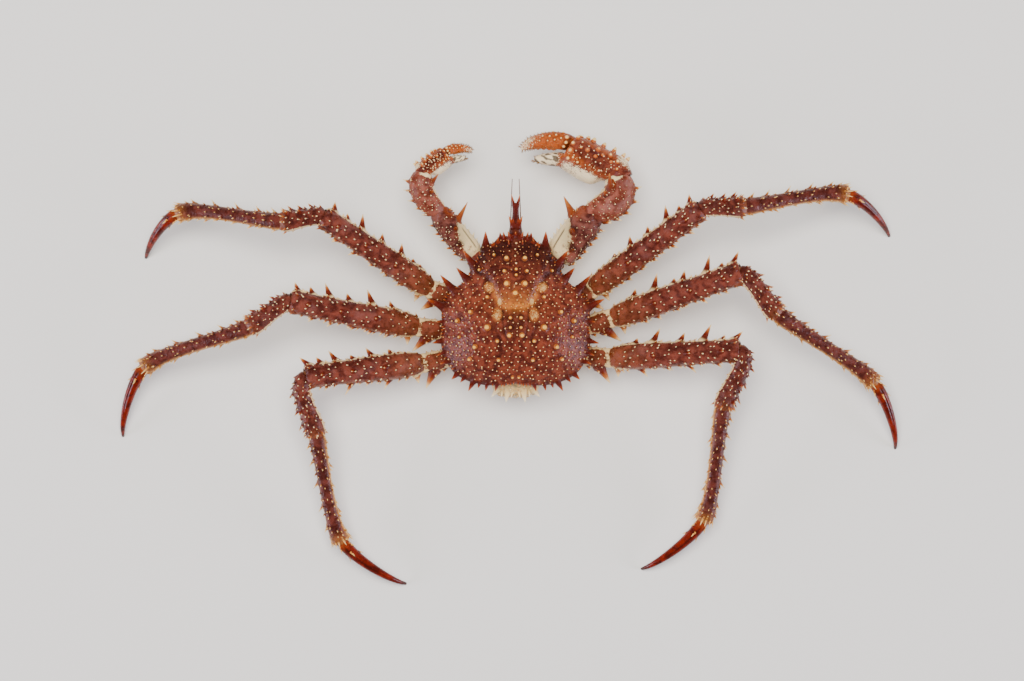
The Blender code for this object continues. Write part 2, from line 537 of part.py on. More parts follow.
def edgeHeight(angle):
    c = math.cos(angle)
    rise = EDGE_RISE_FRONT if c > 0 else EDGE_RISE_REAR
    return EDGE_HEIGHT + rise * c * c * abs(c)


def backHeight(angle, share):
    """Height of the back at an angle from the front and a share of the way to the edge."""
    radius = outlineRadius(angle) * share
    x, y = radius * math.sin(angle), CARAPACE_CENTRE_Y - radius * math.cos(angle)
    edge = edgeHeight(angle)
    middle = EDGE_HEIGHT + 4.0
    z = edge * share**2 + middle * (1 - share**2) + DOME_RISE * (1 - share**DOME_POWER)
    swell = sum(h * math.exp(-(((x - cx) / sx)**2 + ((y - cy) / sy)**2) / 2)
                for cx, cy, sx, sy, h in REGIONS)
    return Vector((x, y, z + swell * (1 - share**6)))


def backPoint(x, y):
    dx, dy = x, CARAPACE_CENTRE_Y - y
    angle = math.atan2(dx, dy)
    return backHeight(angle, math.hypot(dx, dy) / outlineRadius(angle))


def makeCarapace(parent):
    bm = bmesh.new()
    bmesh.ops.create_circle(bm, cap_ends=True, segments=SECTORS, radius=1,
                            matrix=Matrix.Translation((0, CARAPACE_CENTRE_Y, 0)))
    bm.faces.ensure_lookup_table()
    face = bm.faces[0]

    def shape(verts, place):
        for v in verts:
            angle = math.atan2(v.co.x, CARAPACE_CENTRE_Y - v.co.y)
            v.co = place(angle)

    def skirtPlace(share, height):
        def place(angle):
            radius = outlineRadius(angle) * share
            lift = (edgeHeight(angle) - EDGE_HEIGHT) * max(0.0, share - 0.7) / 0.3
            return Vector((radius * math.sin(angle),
                           CARAPACE_CENTRE_Y - radius * math.cos(angle), height + lift))
        return place

    places = [skirtPlace(share, height) for share, height in SKIRT]
    places.append(lambda angle: backHeight(angle, 1.0) - Vector((0, 0, 1.6)))
    places.append(lambda angle: backHeight(angle, 0.985) + Vector((0, 0, 1.8)))
    for share in TOP_RINGS:
        places.append(lambda angle, share=share: backHeight(angle, share))
    shape(face.verts, places[0])
    for place in places[1:]:
        face = drawOut(bm, face, place is places[1])
        shape(face.verts, place)
    top = bmesh.ops.poke(bm, faces=[face])["verts"][0]
    top.co = backHeight(0.0, 0.0)
    bmesh.ops.recalc_face_normals(bm, faces=bm.faces)
    bm.normal_update()

    used = set()
    makeRostrum(bm, used)
    for side in (-1, 1):
        for bx, by, tx, ty, rise, radius in EDGE_SPINES:
            angle = math.atan2(side * bx, CARAPACE_CENTRE_Y - by)
            base = backHeight(angle, 0.995)
            tip = Vector((side * tx, ty, edgeHeight(angle) + rise))
            growSpine(bm, base, tip, radius, used)
        for x, y, tall in BACK_TUBERCLES:
            base = backPoint(side * x, y)
            growSpine(bm, base, base + Vector((0, 0, tall)), TUBERCLE_RADIUS, used)
    x, y, tall = MIDLINE_TUBERCLE
    base = backPoint(x, y)
    growSpine(bm, base, base + Vector((0, 0, tall)), TUBERCLE_RADIUS, used)
    finish(bm, "carapace", "shell", parent, (0, CARAPACE_CENTRE_Y, CARAPACE_FLOOR))


def makeRostrum(bm, used):
    """Beak: the two front faces of the edge drawn forward, forked at the end."""
    front = sorted((f for f in bm.faces if len(f.verts) == 4 and f.normal.y < -0.5
                    and f.calc_center_median().y < -66 and abs(f.calc_center_median().x) < 12),
                   key=lambda f: (abs(f.calc_center_median().z - edgeHeight(0.0)),
                                  abs(f.calc_center_median().x)))
    pair = [f for f in front if abs(f.calc_center_median().z - front[0].calc_center_median().z)
            < 2.0][:2]
    for y, z, wide, thick in ROSTRUM_STATIONS:
        grown = bmesh.ops.extrude_face_region(bm, geom=pair)["geom"]
        bmesh.ops.delete(bm, geom=pair, context="FACES")
        pair = [g for g in grown if isinstance(g, bmesh.types.BMFace)]
        verts = {v for f in pair for v in f.verts}
        centre = sum((v.co for v in verts), Vector()) / len(verts)
        halfWide = max(abs(v.co.x - centre.x) for v in verts)
        halfThick = max(abs(v.co.z - centre.z) for v in verts)
        for v in verts:
            v.co = Vector(((v.co.x - centre.x) / halfWide * wide, y,
                           z + (v.co.z - centre.z) / halfThick * thick))
    bm.normal_update()
    for face in pair:
        side = 1 if face.calc_center_median().x > 0 else -1
        (x, y, z), radius = ROSTRUM_FORK
        growSpine(bm, face.calc_center_median(), Vector((side * x, y, z)), radius, used)
    for root, tip, radius in ROSTRUM_SPINES:
        for side in (-1, 1):
            mirror = Vector((side, 1, 1))
            growSpine(bm, Vector(root) * mirror, Vector(tip) * mirror, radius, used)


def makeThorax(parent):
    bm = bmesh.new()
    frames = []
    for y, wide, top, bottom in THORAX_STATIONS:
        centre = Vector((0, y, (top + bottom) / 2))
        frames.append(ringFrame(centre, Vector((0, 1, 0)), wide, (top - bottom) / 2,
                                Vector((1, 0, 0))))
    loft(bm, frames, 12, 0.5)
    finish(bm, "thorax", "pale", parent, (0, 0, 28))


def makeAbdomen(parent):
    bm = bmesh.new()
    points = [Vector((0, y, z)) for y, z, _, _ in ABDOMEN_PATH]
    frames = []
    for i, (y, z, wide, thick) in enumerate(ABDOMEN_PATH):
        before, after = points[max(i - 1, 0)], points[min(i + 1, len(points) - 1)]
        frame = Matrix((Vector((wide, 0, 0)),
                        (after - before).normalized().cross(Vector((1, 0, 0))) * thick,
                        (after - before).normalized())).transposed().to_4x4()
        frame.translation = points[i]
        frames.append(frame)
    loft(bm, frames, 8, 0.5)
    bmesh.ops.recalc_face_normals(bm, faces=bm.faces)
    bm.normal_update()
    used = set()
    root, radius = ABDOMEN_SPINE_ROOT
    for x, y, z, bx, by in ABDOMEN_SPINES:
        for side in (-1, 1):
            growSpine(bm, Vector((side * bx, by, root)), Vector((side * x, y, z)), radius, used)
    finish(bm, "abdomen", "pale", parent, points[0])


def makeFeeler(name, path, profile, kind, sides, side, parent):
    """Tapering body along a curve: eye stalk, antenna, antennule or mouth palp."""
    points = [(side * x, y, z) for x, y, z in path]
    bm = bmesh.new()
    frames = []
    steps = [row[0] for row in profile]
    if len(path) > 2:
        steps = sorted(set(steps) | {k / 10 for k in range(11)})
    for t in steps:
        place, along = curveThrough(points, t)
        half = blendTable(profile, t)
        frames.append(ringFrame(place, along, half, half, Vector((1, 0, 0))))
    loft(bm, frames, sides, 0.5)
    finish(bm, name, kind, parent, points[0])


def main():
    for obj in list(bpy.data.objects):
        bpy.data.objects.remove(obj, do_unlink=True)
    collection = bpy.data.collections.new("king_crab")
    bpy.context.scene.collection.children.link(collection)
    stand = bpy.data.objects.new("stance", None)
    stand.location = (-STANCE_CENTRE[0] * MM, -STANCE_CENTRE[1] * MM, 0)
    collection.objects.link(stand)

    makeCarapace(stand)
    makeThorax(stand)
    makeAbdomen(stand)
    for letter, side in (("R", -1), ("L", 1)):
        makeFeeler("eye_" + letter, (EYE_ROOT, EYE_TIP), EYE_PROFILE, "eye", 8, side, stand)
        makeFeeler("antennule_" + letter, ANTENNULE_PATH, ANTENNULE_PROFILE, "feeler", 5, side,
                   stand)
        makeFeeler("antenna_" + letter, ANTENNA_PATH, ANTENNA_PROFILE, "feeler", 5, side, stand)
        makeFeeler("maxilliped_" + letter, MAXILLIPED_PATH, MAXILLIPED_PROFILE, "pale", 6, side,
                   stand)
    for name in LEGS:
        makeLeg(name, stand)
    for name in CLAWS:
        makeClaw(name, stand)


main()
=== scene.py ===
import json
import math
import random

import bmesh
import bpy
import numpy as np
from mathutils import Matrix, Vector, noise
from mathutils.bvhtree import BVHTree
from mathutils.kdtree import KDTree

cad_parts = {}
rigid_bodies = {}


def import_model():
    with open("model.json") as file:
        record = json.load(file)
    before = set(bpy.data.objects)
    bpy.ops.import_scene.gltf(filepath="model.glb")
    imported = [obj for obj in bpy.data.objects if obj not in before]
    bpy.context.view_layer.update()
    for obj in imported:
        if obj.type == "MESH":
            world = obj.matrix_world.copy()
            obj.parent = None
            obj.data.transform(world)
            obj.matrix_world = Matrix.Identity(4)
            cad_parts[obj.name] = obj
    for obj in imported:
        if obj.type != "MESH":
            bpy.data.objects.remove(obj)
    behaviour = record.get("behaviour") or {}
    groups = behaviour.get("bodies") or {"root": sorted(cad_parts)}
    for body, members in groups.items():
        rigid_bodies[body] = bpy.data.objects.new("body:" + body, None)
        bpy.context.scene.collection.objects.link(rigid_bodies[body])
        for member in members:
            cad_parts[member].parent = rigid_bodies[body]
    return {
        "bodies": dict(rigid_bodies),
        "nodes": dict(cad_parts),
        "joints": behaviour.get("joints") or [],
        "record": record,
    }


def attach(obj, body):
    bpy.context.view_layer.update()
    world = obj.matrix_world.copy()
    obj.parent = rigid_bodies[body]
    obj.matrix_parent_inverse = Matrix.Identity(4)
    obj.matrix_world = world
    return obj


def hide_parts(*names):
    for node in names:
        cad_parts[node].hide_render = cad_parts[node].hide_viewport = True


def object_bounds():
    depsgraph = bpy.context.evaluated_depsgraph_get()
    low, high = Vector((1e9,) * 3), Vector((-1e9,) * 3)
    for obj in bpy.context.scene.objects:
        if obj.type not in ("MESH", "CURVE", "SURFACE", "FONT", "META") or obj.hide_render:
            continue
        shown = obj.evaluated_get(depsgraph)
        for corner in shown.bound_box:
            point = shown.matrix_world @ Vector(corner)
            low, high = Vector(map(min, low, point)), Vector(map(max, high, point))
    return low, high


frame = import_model()
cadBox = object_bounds()
print("frame loaded,", len(frame["nodes"]), "nodes")

# Everything below is in millimetres in the crab's own frame: it faces -Y, its back is +Z and
# its left side is +X. Skin.finish and toPiece turn it to metres and move it to where the frame has it.
mm = 0.001
stanceCentre = (5.6, 36.2)
gap = 0.35
toFrame = Matrix.Scale(mm, 4) @ Matrix.Translation((-stanceCentre[0], -stanceCentre[1], 0))
draws = random.Random(27)
sideAxis, upAxis = Vector((1, 0, 0)), Vector((0, 0, 1))

stage = {
    "cameraPlace": (3.1, 19.3, 2200), "lens": 89.1, "sensor": 36,
    "floorSize": 3.4, "floorColour": "#eeedea",
    # place in metres, size, watts, colour, whether it glares; the top one is cross-polarised
    "lights": (((0.15, -0.45, 2.6), 1.6, 116, "#fffaf2", False),
               ((-2, 0.5, 0.55), 0.9, 30, "#f0e8ff", True),
               ((2, 0.55, 0.55), 0.9, 30, "#f0e8ff", True)),
    "worldColour": "#e8ecf4", "worldStrength": 0.25,
}


def pick(span):
    return draws.uniform(*span)


def linear(hexColour):
    values = [int(hexColour[i:i + 2], 16) / 255 for i in (1, 3, 5)]
    return tuple(c / 12.92 if c <= 0.04045 else ((c + 0.055) / 1.055)**2.4 for c in values)


# Feeds a node's inputs: each is a number, a hex colour or the socket that it comes from.
def feed(tree, node, inputs):
    for key, value in inputs.items():
        if isinstance(value, bpy.types.NodeSocket):
            tree.links.new(value, node.inputs[key])
        else:
            node.inputs[key].default_value = (*linear(value), 1) if isinstance(value, str) else value


def addNode(tree, kind, settings=None, inputs=None):
    node = tree.nodes.new(kind)
    for name, value in (settings or {}).items():
        setattr(node, name, value)
    feed(tree, node, inputs or {})
    return node


def newMaterial(name):
    material = bpy.data.materials.new(name)
    material.use_nodes = True
    tree = material.node_tree
    return material, tree, tree.nodes["Principled BSDF"]


def objectPlace(tree):
    return addNode(tree, "ShaderNodeTexCoord").outputs["Object"]


# Noise with blotches of that many millimetres.
def cloud(tree, place, size, detail=2.0, distortion=0.0):
    return addNode(tree, "ShaderNodeTexNoise", None,
                   {"Vector": place, "Scale": 1 / (size * mm), "Detail": detail,
                    "Distortion": distortion}).outputs["Fac"]


def newObject(name, data):
    obj = bpy.data.objects.new(name, data)
    bpy.context.scene.collection.objects.link(obj)
    return obj


def closeMesh(bm, name):
    mesh = bpy.data.meshes.new(name)
    bm.to_mesh(mesh)
    bm.free()
    return mesh


# Moves meshes into one bmesh.
def pour(bm, meshes):
    for mesh in meshes:
        bm.from_mesh(mesh)
        bpy.data.meshes.remove(mesh)


# Cubic from a to b that leaves and arrives with the slopes ta and tb, and its direction.
def cubic(t, a, b, ta, tb):
    return ((2 * t**3 - 3 * t**2 + 1) * a + (t**3 - 2 * t**2 + t) * ta
            + (3 * t**2 - 2 * t**3) * b + (t**3 - t**2) * tb)


def cubicWay(t, a, b, ta, tb):
    return ((6 * t**2 - 6 * t) * a + (3 * t**2 - 4 * t + 1) * ta
            + (6 * t - 6 * t**2) * b + (3 * t**2 - 2 * t) * tb).normalized()


# Smooth value at x through rows of place and value.
def blendTable(table, x):
    places = [row[0] for row in table]
    values = [row[1] for row in table]
    x = min(max(x, places[0]), places[-1])
    i = max(k for k in range(len(places) - 1) if places[k] <= x)

    def slope(k):
        low, high = max(k - 1, 0), min(k + 1, len(places) - 1)
        return (values[high] - values[low]) / (places[high] - places[low])

    span = places[i + 1] - places[i]
    return float(cubic((x - places[i]) / span, values[i], values[i + 1],
                       slope(i) * span, slope(i + 1) * span))


def blendColumns(table, x, columns):
    return [blendTable([(row[0], row[c]) for row in table], x) for c in columns]


def curveThrough(points, t):
    points = [Vector(p) for p in points]
    n = len(points) - 1
    x = min(max(float(t), 0.0), 1.0) * n
    i = min(int(x), n - 1)
    a, b = points[i], points[i + 1]
    ta = (b - points[i - 1]) / 2 if i > 0 else b - a
    tb = (points[i + 2] - a) / 2 if i + 2 <= n else b - a
    return cubic(x - i, a, b, ta, tb), cubicWay(x - i, a, b, ta, tb)


# Direction in degrees: heading 0 is straight out to that side and 90 is ahead, pitch is upwards.
def bearing(side, heading, pitch):
    h, p = math.radians(heading), math.radians(pitch)
    return Vector((side * math.cos(h) * math.cos(p), -math.sin(h) * math.cos(p), math.sin(p)))


# Weights for painting: 0 to 1 between two values, 1 near a value, and a soft round spot.
def step(low, high, x):
    s = np.clip((x - low) / (high - low), 0.0, 1.0)
    return s * s * (3 - 2 * s)


def near(x, centre, full, none):
    return 1 - step(full, none, abs(x - centre))


def hill(x, centre, width):
    return np.exp(-((x - centre) / width)**2)


def spot(x, y, place, width, height, power=1):
    return np.exp(-(((x - place[0]) / width)**2 + ((y - place[1]) / height)**2)**power)


# Frame of a section: across and up in half widths, the way it faces as the third axis.
def ringFrame(centre, along, wide, high, across):
    along = along.normalized()
    across = (across - along * across.dot(along)).normalized()
    up = along.cross(across)
    ring = Matrix((across * wide, up * high, along)).transposed().to_4x4()
    ring.translation = centre
    return ring


# The frame moved on along its way and shrunk by a share.
def shifted(frame, more, share):
    return frame @ Matrix.Translation((0, 0, more)) @ Matrix.Diagonal((share, share, 1, 1))


def drawOut(bm, face, keep):
    grown = bmesh.ops.extrude_face_region(bm, geom=[face])["geom"]
    if not keep:
        bmesh.ops.delete(bm, geom=[face], context="FACES_ONLY")
    return next(g for g in grown if isinstance(g, bmesh.types.BMFace))


# Closed mesh drawn through the framed sections, a circle or a rounder box.
def loft(frames, sides, squareness=2.0):
    bm = bmesh.new()
    bmesh.ops.create_circle(bm, cap_ends=True, segments=sides, radius=1)
    for v in bm.verts:
        n = abs(v.co.x)**squareness + abs(v.co.y)**squareness
        v.co /= n**(1 / squareness)
    bm.transform(frames[0])
    bm.faces.ensure_lookup_table()
    face = bm.faces[0]
    for before, after in zip(frames, frames[1:]):
        face = drawOut(bm, face, before is frames[0])
        bmesh.ops.transform(bm, matrix=after @ before.inverted(), verts=face.verts[:])
    bmesh.ops.recalc_face_normals(bm, faces=bm.faces)
    return closeMesh(bm, "loft")


def ball(frame, segments=14, rings=9):
    bm = bmesh.new()
    bmesh.ops.create_uvsphere(bm, u_segments=segments, v_segments=rings, radius=1)
    bm.transform(frame)
    return closeMesh(bm, "ball")


# share of the way up a spine, share of its root radius
spineProfile = ((-0.2, 1.35), (0, 1.28), (0.12, 1), (0.32, 0.74), (0.56, 0.51), (0.8, 0.28),
                (1, 0.06))
stumpProfile = ((-0.2, 1.35), (0, 1.3), (0.12, 0.92), (0.3, 0.6), (0.46, 0.4))
# height above the skin and radius of a grain and of a larger boss, in shares of its size
grainProfile = ((-0.5, 1.2), (0.15, 0.97), (0.72, 0.62), (1.05, 0.16))
bossProfile = ((-0.6, 1.3), (0, 1.12), (0.25, 0.99), (0.5, 0.84), (0.74, 0.62), (0.92, 0.36),
               (1, 0.1))


# Horn from base to tip; curl bows it by that share of its length, upwards.
def spineMesh(base, tip, radius, curl=0.0, profile=spineProfile, sides=9):
    way = tip - base
    bow = way.cross(upAxis).cross(way)
    if bow.length > 1e-4:
        bow.normalize()
    side = way.orthogonal()
    frames = []
    for t, share in profile:
        place = base + way * t - bow * way.length * curl * 4 * t * (1 - t)
        wide = max(radius * share, 0.12)
        frames.append(ringFrame(place, way, wide, wide, side))
    return loft(frames, sides)


def standingMesh(profile, sides):
    return loft([ringFrame(Vector((0, 0, z)), upAxis, r, r, sideAxis)
                 for z, r in profile], sides)


def pointsOf(mesh):
    flat = np.empty(len(mesh.vertices) * 3)
    mesh.vertices.foreach_get("co", flat)
    return flat.reshape(-1, 3)


grain = standingMesh(grainProfile, 6)
boss = standingMesh(bossProfile, 12)
bossRadius = 1.25       # from this size a knob is a rounder boss
hornRadius = 1.4        # from this size a spine also swells out of the skin
mound = {
    # the skin swells under a knob and a small spine: width and height in shares of their size
    "knobWidth": 1.9, "knobHeight": 0.38, "spineWidth": 2.1, "spineHeight": 0.55,
    # ring of painted shade at its foot: how far out, width, depth
    "ringAt": 0.85, "ringWidth": 0.22, "ringShade": 0.32, "reach": 1.35,
    "knobLean": 1.05, "bossTone": 0.8,
}


# What one plate is made of: closed solids, spines and knobs, merged and then painted.
class Skin:

    def __init__(self, name):
        self.name, self.solids, self.spines, self.knobs = name, [], [], []

    def add(self, mesh):
        self.solids.append(mesh)

    # tones: values of the spine mask at its base and its tip
    def spine(self, base, tip, radius, curl=0.06, tones=(0.02, 1.0)):
        if radius > hornRadius:
            self.add(spineMesh(base, tip, radius, curl, stumpProfile))
        self.spines.append((base.copy(), tip.copy(), float(radius), curl, tones))

    def knob(self, place, radius, height, tone=1.0, lean=None):
        self.knobs.append((place.copy(), radius, height, tone, lean))

    def stain(self, **amounts):
        for key, amount in amounts.items():
            self.masks[key] += amount

    # Fuses the solids into one closed skin of even small faces.
    def merge(self, voxel, smoothing=2):
        bm = bmesh.new()
        pour(bm, self.solids)
        rough = closeMesh(bm, self.name + "Rough")
        obj = newObject(self.name, rough)
        fuse = obj.modifiers.new("fuse", "REMESH")
        fuse.mode = "VOXEL"
        fuse.voxel_size = voxel
        soften = obj.modifiers.new("soften", "SMOOTH")
        soften.factor = 0.5
        soften.iterations = smoothing
        shape = obj.evaluated_get(bpy.context.evaluated_depsgraph_get())
        mesh = bpy.data.meshes.new_from_object(shape)
        obj.modifiers.clear()
        obj.data = mesh
        bpy.data.meshes.remove(rough)
        self.obj, self.mesh = obj, mesh
        self.co = pointsOf(mesh)
        n = len(self.co)
        mesh.vertex_normals.foreach_get("vector", flat := np.empty(n * 3))
        self.normal = flat.reshape(n, 3)
        self.tree = KDTree(n)
        for i, co in enumerate(self.co):
            self.tree.insert(co, i)
        self.tree.balance()
        self.masks = {key: np.zeros(n) for key in ("knob", "spine", "pale", "warm", "shade")}
        self.raiseMounds()
        self.markSpines()

    # Low swellings under the knobs and small spines, with a ring of painted shade at their foot.
    def raiseMounds(self):
        lift, shade = np.zeros(len(self.co)), self.masks["shade"]
        feet = [(place, radius * mound["knobWidth"], height * mound["knobHeight"])
                for place, radius, height, _, _ in self.knobs]
        feet += [(base, radius * mound["spineWidth"], radius * mound["spineHeight"])
                 for base, _, radius, _, _ in self.spines if radius <= hornRadius]
        for place, wide, high in feet:
            for _, i, distance in self.tree.find_range(place, wide * mound["reach"]):
                x = distance / wide
                if x < 1:
                    lift[i] = max(lift[i], high * (1 - x * x)**1.5)
                # painted shade in a ring round the foot of the swelling
                ring = math.exp(-((x - mound["ringAt"]) / mound["ringWidth"])**2)
                shade[i] = max(shade[i], mound["ringShade"] * ring)
        self.co = self.co + self.normal * lift[:, None]

    def markSpines(self):
        spine = self.masks["spine"]
        for base, tip, radius, _, (low, high) in self.spines:
            way = tip - base
            if radius > hornRadius and low < 0.5:       # one that is pale all over leaves no stain
                for co, i, _ in self.tree.find_range(base + way * 0.3, way.length * 0.5 + radius):
                    offset = co - base
                    t = offset.dot(way) / way.length_squared
                    off = (offset - way * t).length
                    if -0.1 < t and off < radius * (1.6 - 0.9 * max(t, 0.0)) + 0.3:
                        spine[i] = max(spine[i], low + (high - low) * max(0.0, t))

    # Crisp spines and grains that stand on the skin; each takes its tint from the skin below.
    def addDetails(self):
        bm = bmesh.new()
        bm.from_mesh(self.mesh)
        added = {key: [values] for key, values in self.masks.items()}

        def append(mesh, i, **own):
            bm.from_mesh(mesh)
            for key, values in added.items():
                same = np.full(len(mesh.vertices), 0.0 if key in ("knob", "spine") else values[0][i])
                values.append(own.get(key, same))
            bpy.data.meshes.remove(mesh)

        for place, radius, height, tone, lean in self.knobs:
            i = self.tree.find(place)[1]
            up = Vector(self.normal[i])
            way = up + lean * mound["knobLean"] if lean else up
            template = boss if radius > bossRadius else grain
            share = np.clip(pointsOf(template)[:, 2], 0.0, 1.0)
            mesh = template.copy()
            stand = ringFrame(Vector(self.co[i]), way, radius, radius, way.orthogonal())
            mesh.transform(stand @ Matrix.Diagonal((1, 1, height, 1)))
            if radius > bossRadius:
                append(mesh, i, knob=share * tone * mound["bossTone"], warm=np.ones(len(share)))
            else:
                append(mesh, i, knob=share * tone)
        for base, tip, radius, curl, (low, high) in self.spines:
            way = tip - base
            mesh = spineMesh(base, tip, radius, curl)
            t = (pointsOf(mesh) - np.array(base)) @ np.array(way) / way.length_squared
            append(mesh, self.tree.find(base)[1], spine=low + (high - low) * np.clip(t, 0.0, 1.0))
        bm.to_mesh(self.mesh)
        bm.free()
        self.masks = {key: np.concatenate(values) for key, values in added.items()}

    # Puts the finished plate in its place in the frame, in metres.
    def finish(self, material, slotName, *nodes):
        self.mesh.vertices.foreach_set("co", self.co.ravel())
        self.addDetails()
        self.mesh.transform(toFrame)
        for key, values in self.masks.items():
            layer = self.mesh.attributes.new(key, "FLOAT", "POINT")
            layer.data.foreach_set("value", np.clip(values, 0.0, 1.0))
        self.mesh.update()
        return finishPiece(self.obj, material, slotName, *nodes)


totals = {"triangles": 0}


# Sets material and body; a tip that would stand out of the CAD box is blunted at its wall.
def finishPiece(obj, material, slotName, *nodes):
    mesh = obj.data
    inside = np.clip(pointsOf(mesh), cadBox[0], cadBox[1])
    mesh.vertices.foreach_set("co", inside.ravel())
    mesh.shade_smooth()
    mesh.materials.clear()
    mesh.materials.append(material)
    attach(obj, "root")
    if nodes:
        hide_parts(*nodes)
    totals["triangles"] += sum(len(p.vertices) - 2 for p in mesh.polygons)
    return obj


# Object from a millimetre mesh, moved into the frame.
def toPiece(name, mesh, material, slotName, *nodes):
    mesh.transform(toFrame)
    mesh.name = name
    return finishPiece(newObject(name, mesh), material, slotName, *nodes)


# Crab shell: chalky cuticle under a thin waxy film. The film gives a broad satin gloss, the
# chalk below it scatters, so pigment looks blotched at a few millimetres and grainy below one.
shell = {
    # order of a shell's colours: ground, painted sheen, stains, painted shade and dark pigment,
    # foot of a knob, spine from root to tip, top of a knob and its top on warm ground
    "colours": ("dark", "light", "paintedSheen", "warm", "pale", "deep", "flank", "root", "horn",
                "hornTip", "tip", "knob", "crown"),
    # millimetres across: specks of pigment, rust, frayed edges of a stain, worn stipple,
    # pores, wrinkles, patches of gloss
    "speck": 1.6, "rust": 2.4, "patch": 4.5, "stipple": 0.7, "pore": 1.15, "wrinkle": 2.6,
    "sheen": 3.2, "reliefHeight": 0.5,
    "paintedSheenSpread": 1.9,                         # the painted sheen's patches are that much wider than a blotch
    "filmIor": 1.38,                            # a film of water lies outermost
    "scatter": 0.06, "scatterDepth": 1.2, "scatterRadius": (1, 0.35, 0.2),
    # value of the spine mask where each colour of a spine is reached
    "spineStops": ((0.05, "root"), (0.48, "horn"), (0.72, "hornTip"), (0.9, "tip")),
}


def shellMaterial(name, colours, roughness=0.28, relief=0.8, blotch=7.0, paintedSheen=0.30, stipple=0.6):
    colours = dict(zip(shell["colours"], colours.split()))
    material, tree, shader = newMaterial(name)
    place = objectPlace(tree)

    def mask(key):
        return addNode(tree, "ShaderNodeAttribute", {"attribute_name": key}).outputs["Fac"]

    def mottle(size, detail=3.0, distortion=0.0):
        return cloud(tree, place, size, detail, distortion)

    def spread(value, low, high, start=0.0, end=1.0):
        return addNode(tree, "ShaderNodeMapRange", {"interpolation_type": "SMOOTHSTEP"},
                       {"Value": value, "From Min": low, "From Max": high, "To Min": start,
                        "To Max": end}).outputs["Result"]

    def combine(operation, a, b):
        return addNode(tree, "ShaderNodeMath", {"operation": operation}, {0: a, 1: b}).outputs[0]

    def times(a, b):
        return combine("MULTIPLY", a, b)

    def around(value, amount):      # noise moved to both sides of nought
        return times(combine("SUBTRACT", value, 0.5), amount)

    def mix(factor, a, b):
        return addNode(tree, "ShaderNodeMix", {"data_type": "RGBA"},
                       {0: factor, 6: a, 7: b}).outputs[2]

    specks = mottle(shell["speck"], 2.0)
    colour = mix(spread(mottle(blotch, 4.0, 0.4), 0.36, 0.66), colours["dark"], colours["light"])
    # lavender patches of painted sheen, mixed over the ground colour
    sheenPatches = spread(mottle(blotch * shell["paintedSheenSpread"]), 0.54, 0.74)
    colour = mix(times(sheenPatches, paintedSheen), colour, colours["paintedSheen"])
    colour = mix(times(spread(specks, 0.5, 0.75), 0.25), colour, colours["light"])
    rust = spread(mottle(shell["rust"], 3.0, 0.3), 0.3, 0.62, 0.5, 1.0)
    colour = mix(times(mask("warm"), rust), colour, colours["warm"])
    # pale stains have a frayed edge, with a fine stipple where the shell is worn
    grains = around(mottle(shell["stipple"], 1.0) if stipple > 1 else specks, stipple)
    patches = around(mottle(shell["patch"], 3.0, 0.3), 0.7)
    ragged = combine("ADD", mask("pale"), combine("ADD", grains, patches))
    colour = mix(spread(ragged, 0.36, 0.60), colour, colours["pale"])
    # painted shade and dark pigment, carried by the one mask, darken towards the deep colour
    colour = mix(times(mask("shade"), 0.85), colour, colours["deep"])
    ramp = addNode(tree, "ShaderNodeValToRGB", None, {0: mask("spine")})
    while len(ramp.color_ramp.elements) < len(shell["spineStops"]):
        ramp.color_ramp.elements.new(0.5)
    for element, (where, key) in zip(ramp.color_ramp.elements, shell["spineStops"]):
        element.position = where
        element.color = (*linear(colours[key]), 1)
    colour = mix(spread(mask("spine"), 0.02, 0.24), colour, ramp.outputs["Color"])
    colour = mix(spread(mask("knob"), 0.04, 0.30), colour, colours["flank"])
    crown = mix(mask("warm"), colours["knob"], colours["crown"])
    colour = mix(spread(mask("knob"), 0.34, 0.62), colour, crown)

    pores = addNode(tree, "ShaderNodeTexVoronoi", {"feature": "SMOOTH_F1"},
                    {"Vector": place, "Scale": 1 / (shell["pore"] * mm), "Smoothness": 0.4})
    wrinkles = times(mottle(shell["wrinkle"], 3.0, 0.8), 1.5)
    height = combine("ADD", times(pores.outputs["Distance"], 0.8), combine("ADD", specks, wrinkles))
    bump = addNode(tree, "ShaderNodeBump", None,
                   {"Height": height, "Strength": 0.65 * relief,
                    "Distance": shell["reliefHeight"] * mm})
    sheen = spread(mottle(shell["sheen"]), 0.3, 0.7, roughness - 0.07, roughness + 0.12)
    feed(tree, shader, {
        "Base Color": colour, "Normal": bump.outputs["Normal"], "Roughness": sheen,
        "IOR": shell["filmIor"], "Subsurface Weight": shell["scatter"],
        "Subsurface Radius": shell["scatterRadius"],
        "Subsurface Scale": shell["scatterDepth"] * mm})
    return material


backShell = shellMaterial("carapaceShellSatinChitin", (
    "#4b1910 #7e3a26 #7a4640 #bc7030 #cfa468 #1c0604 #9c4a1c "
    "#3a0e08 #5c1a0e #943e16 #cc7c3a #ecc68c #eab050"), blotch=5.5, paintedSheen=0.14)
legShell = shellMaterial("legShellSatinChitin", (
    "#481a13 #783a2d #7c5250 #a8602c #e6c48c #1c0604 #864020 "
    "#400e08 #68200e #b0662e #efcf94 #f6dca8 #eabc70"), paintedSheen=0.32)
armShell = shellMaterial("clawArmShellSatinChitin", (
    "#4c1e18 #8c5145 #98706e #ac4e20 #eed4a2 #220806 #8e4420 "
    "#4a120a #8a401a #bc7234 #f2dcae #f4dcac #f0c678"), paintedSheen=0.5)
shinShell = shellMaterial("propodusShellSatinChitin", (
    "#431812 #683027 #6e4846 #c07a2a #e0b464 #1c0604 #9a5420 "
    "#4a160a #8e4a1a #cc9044 #f2d290 #ecc47c #eabc70"), paintedSheen=0.3)
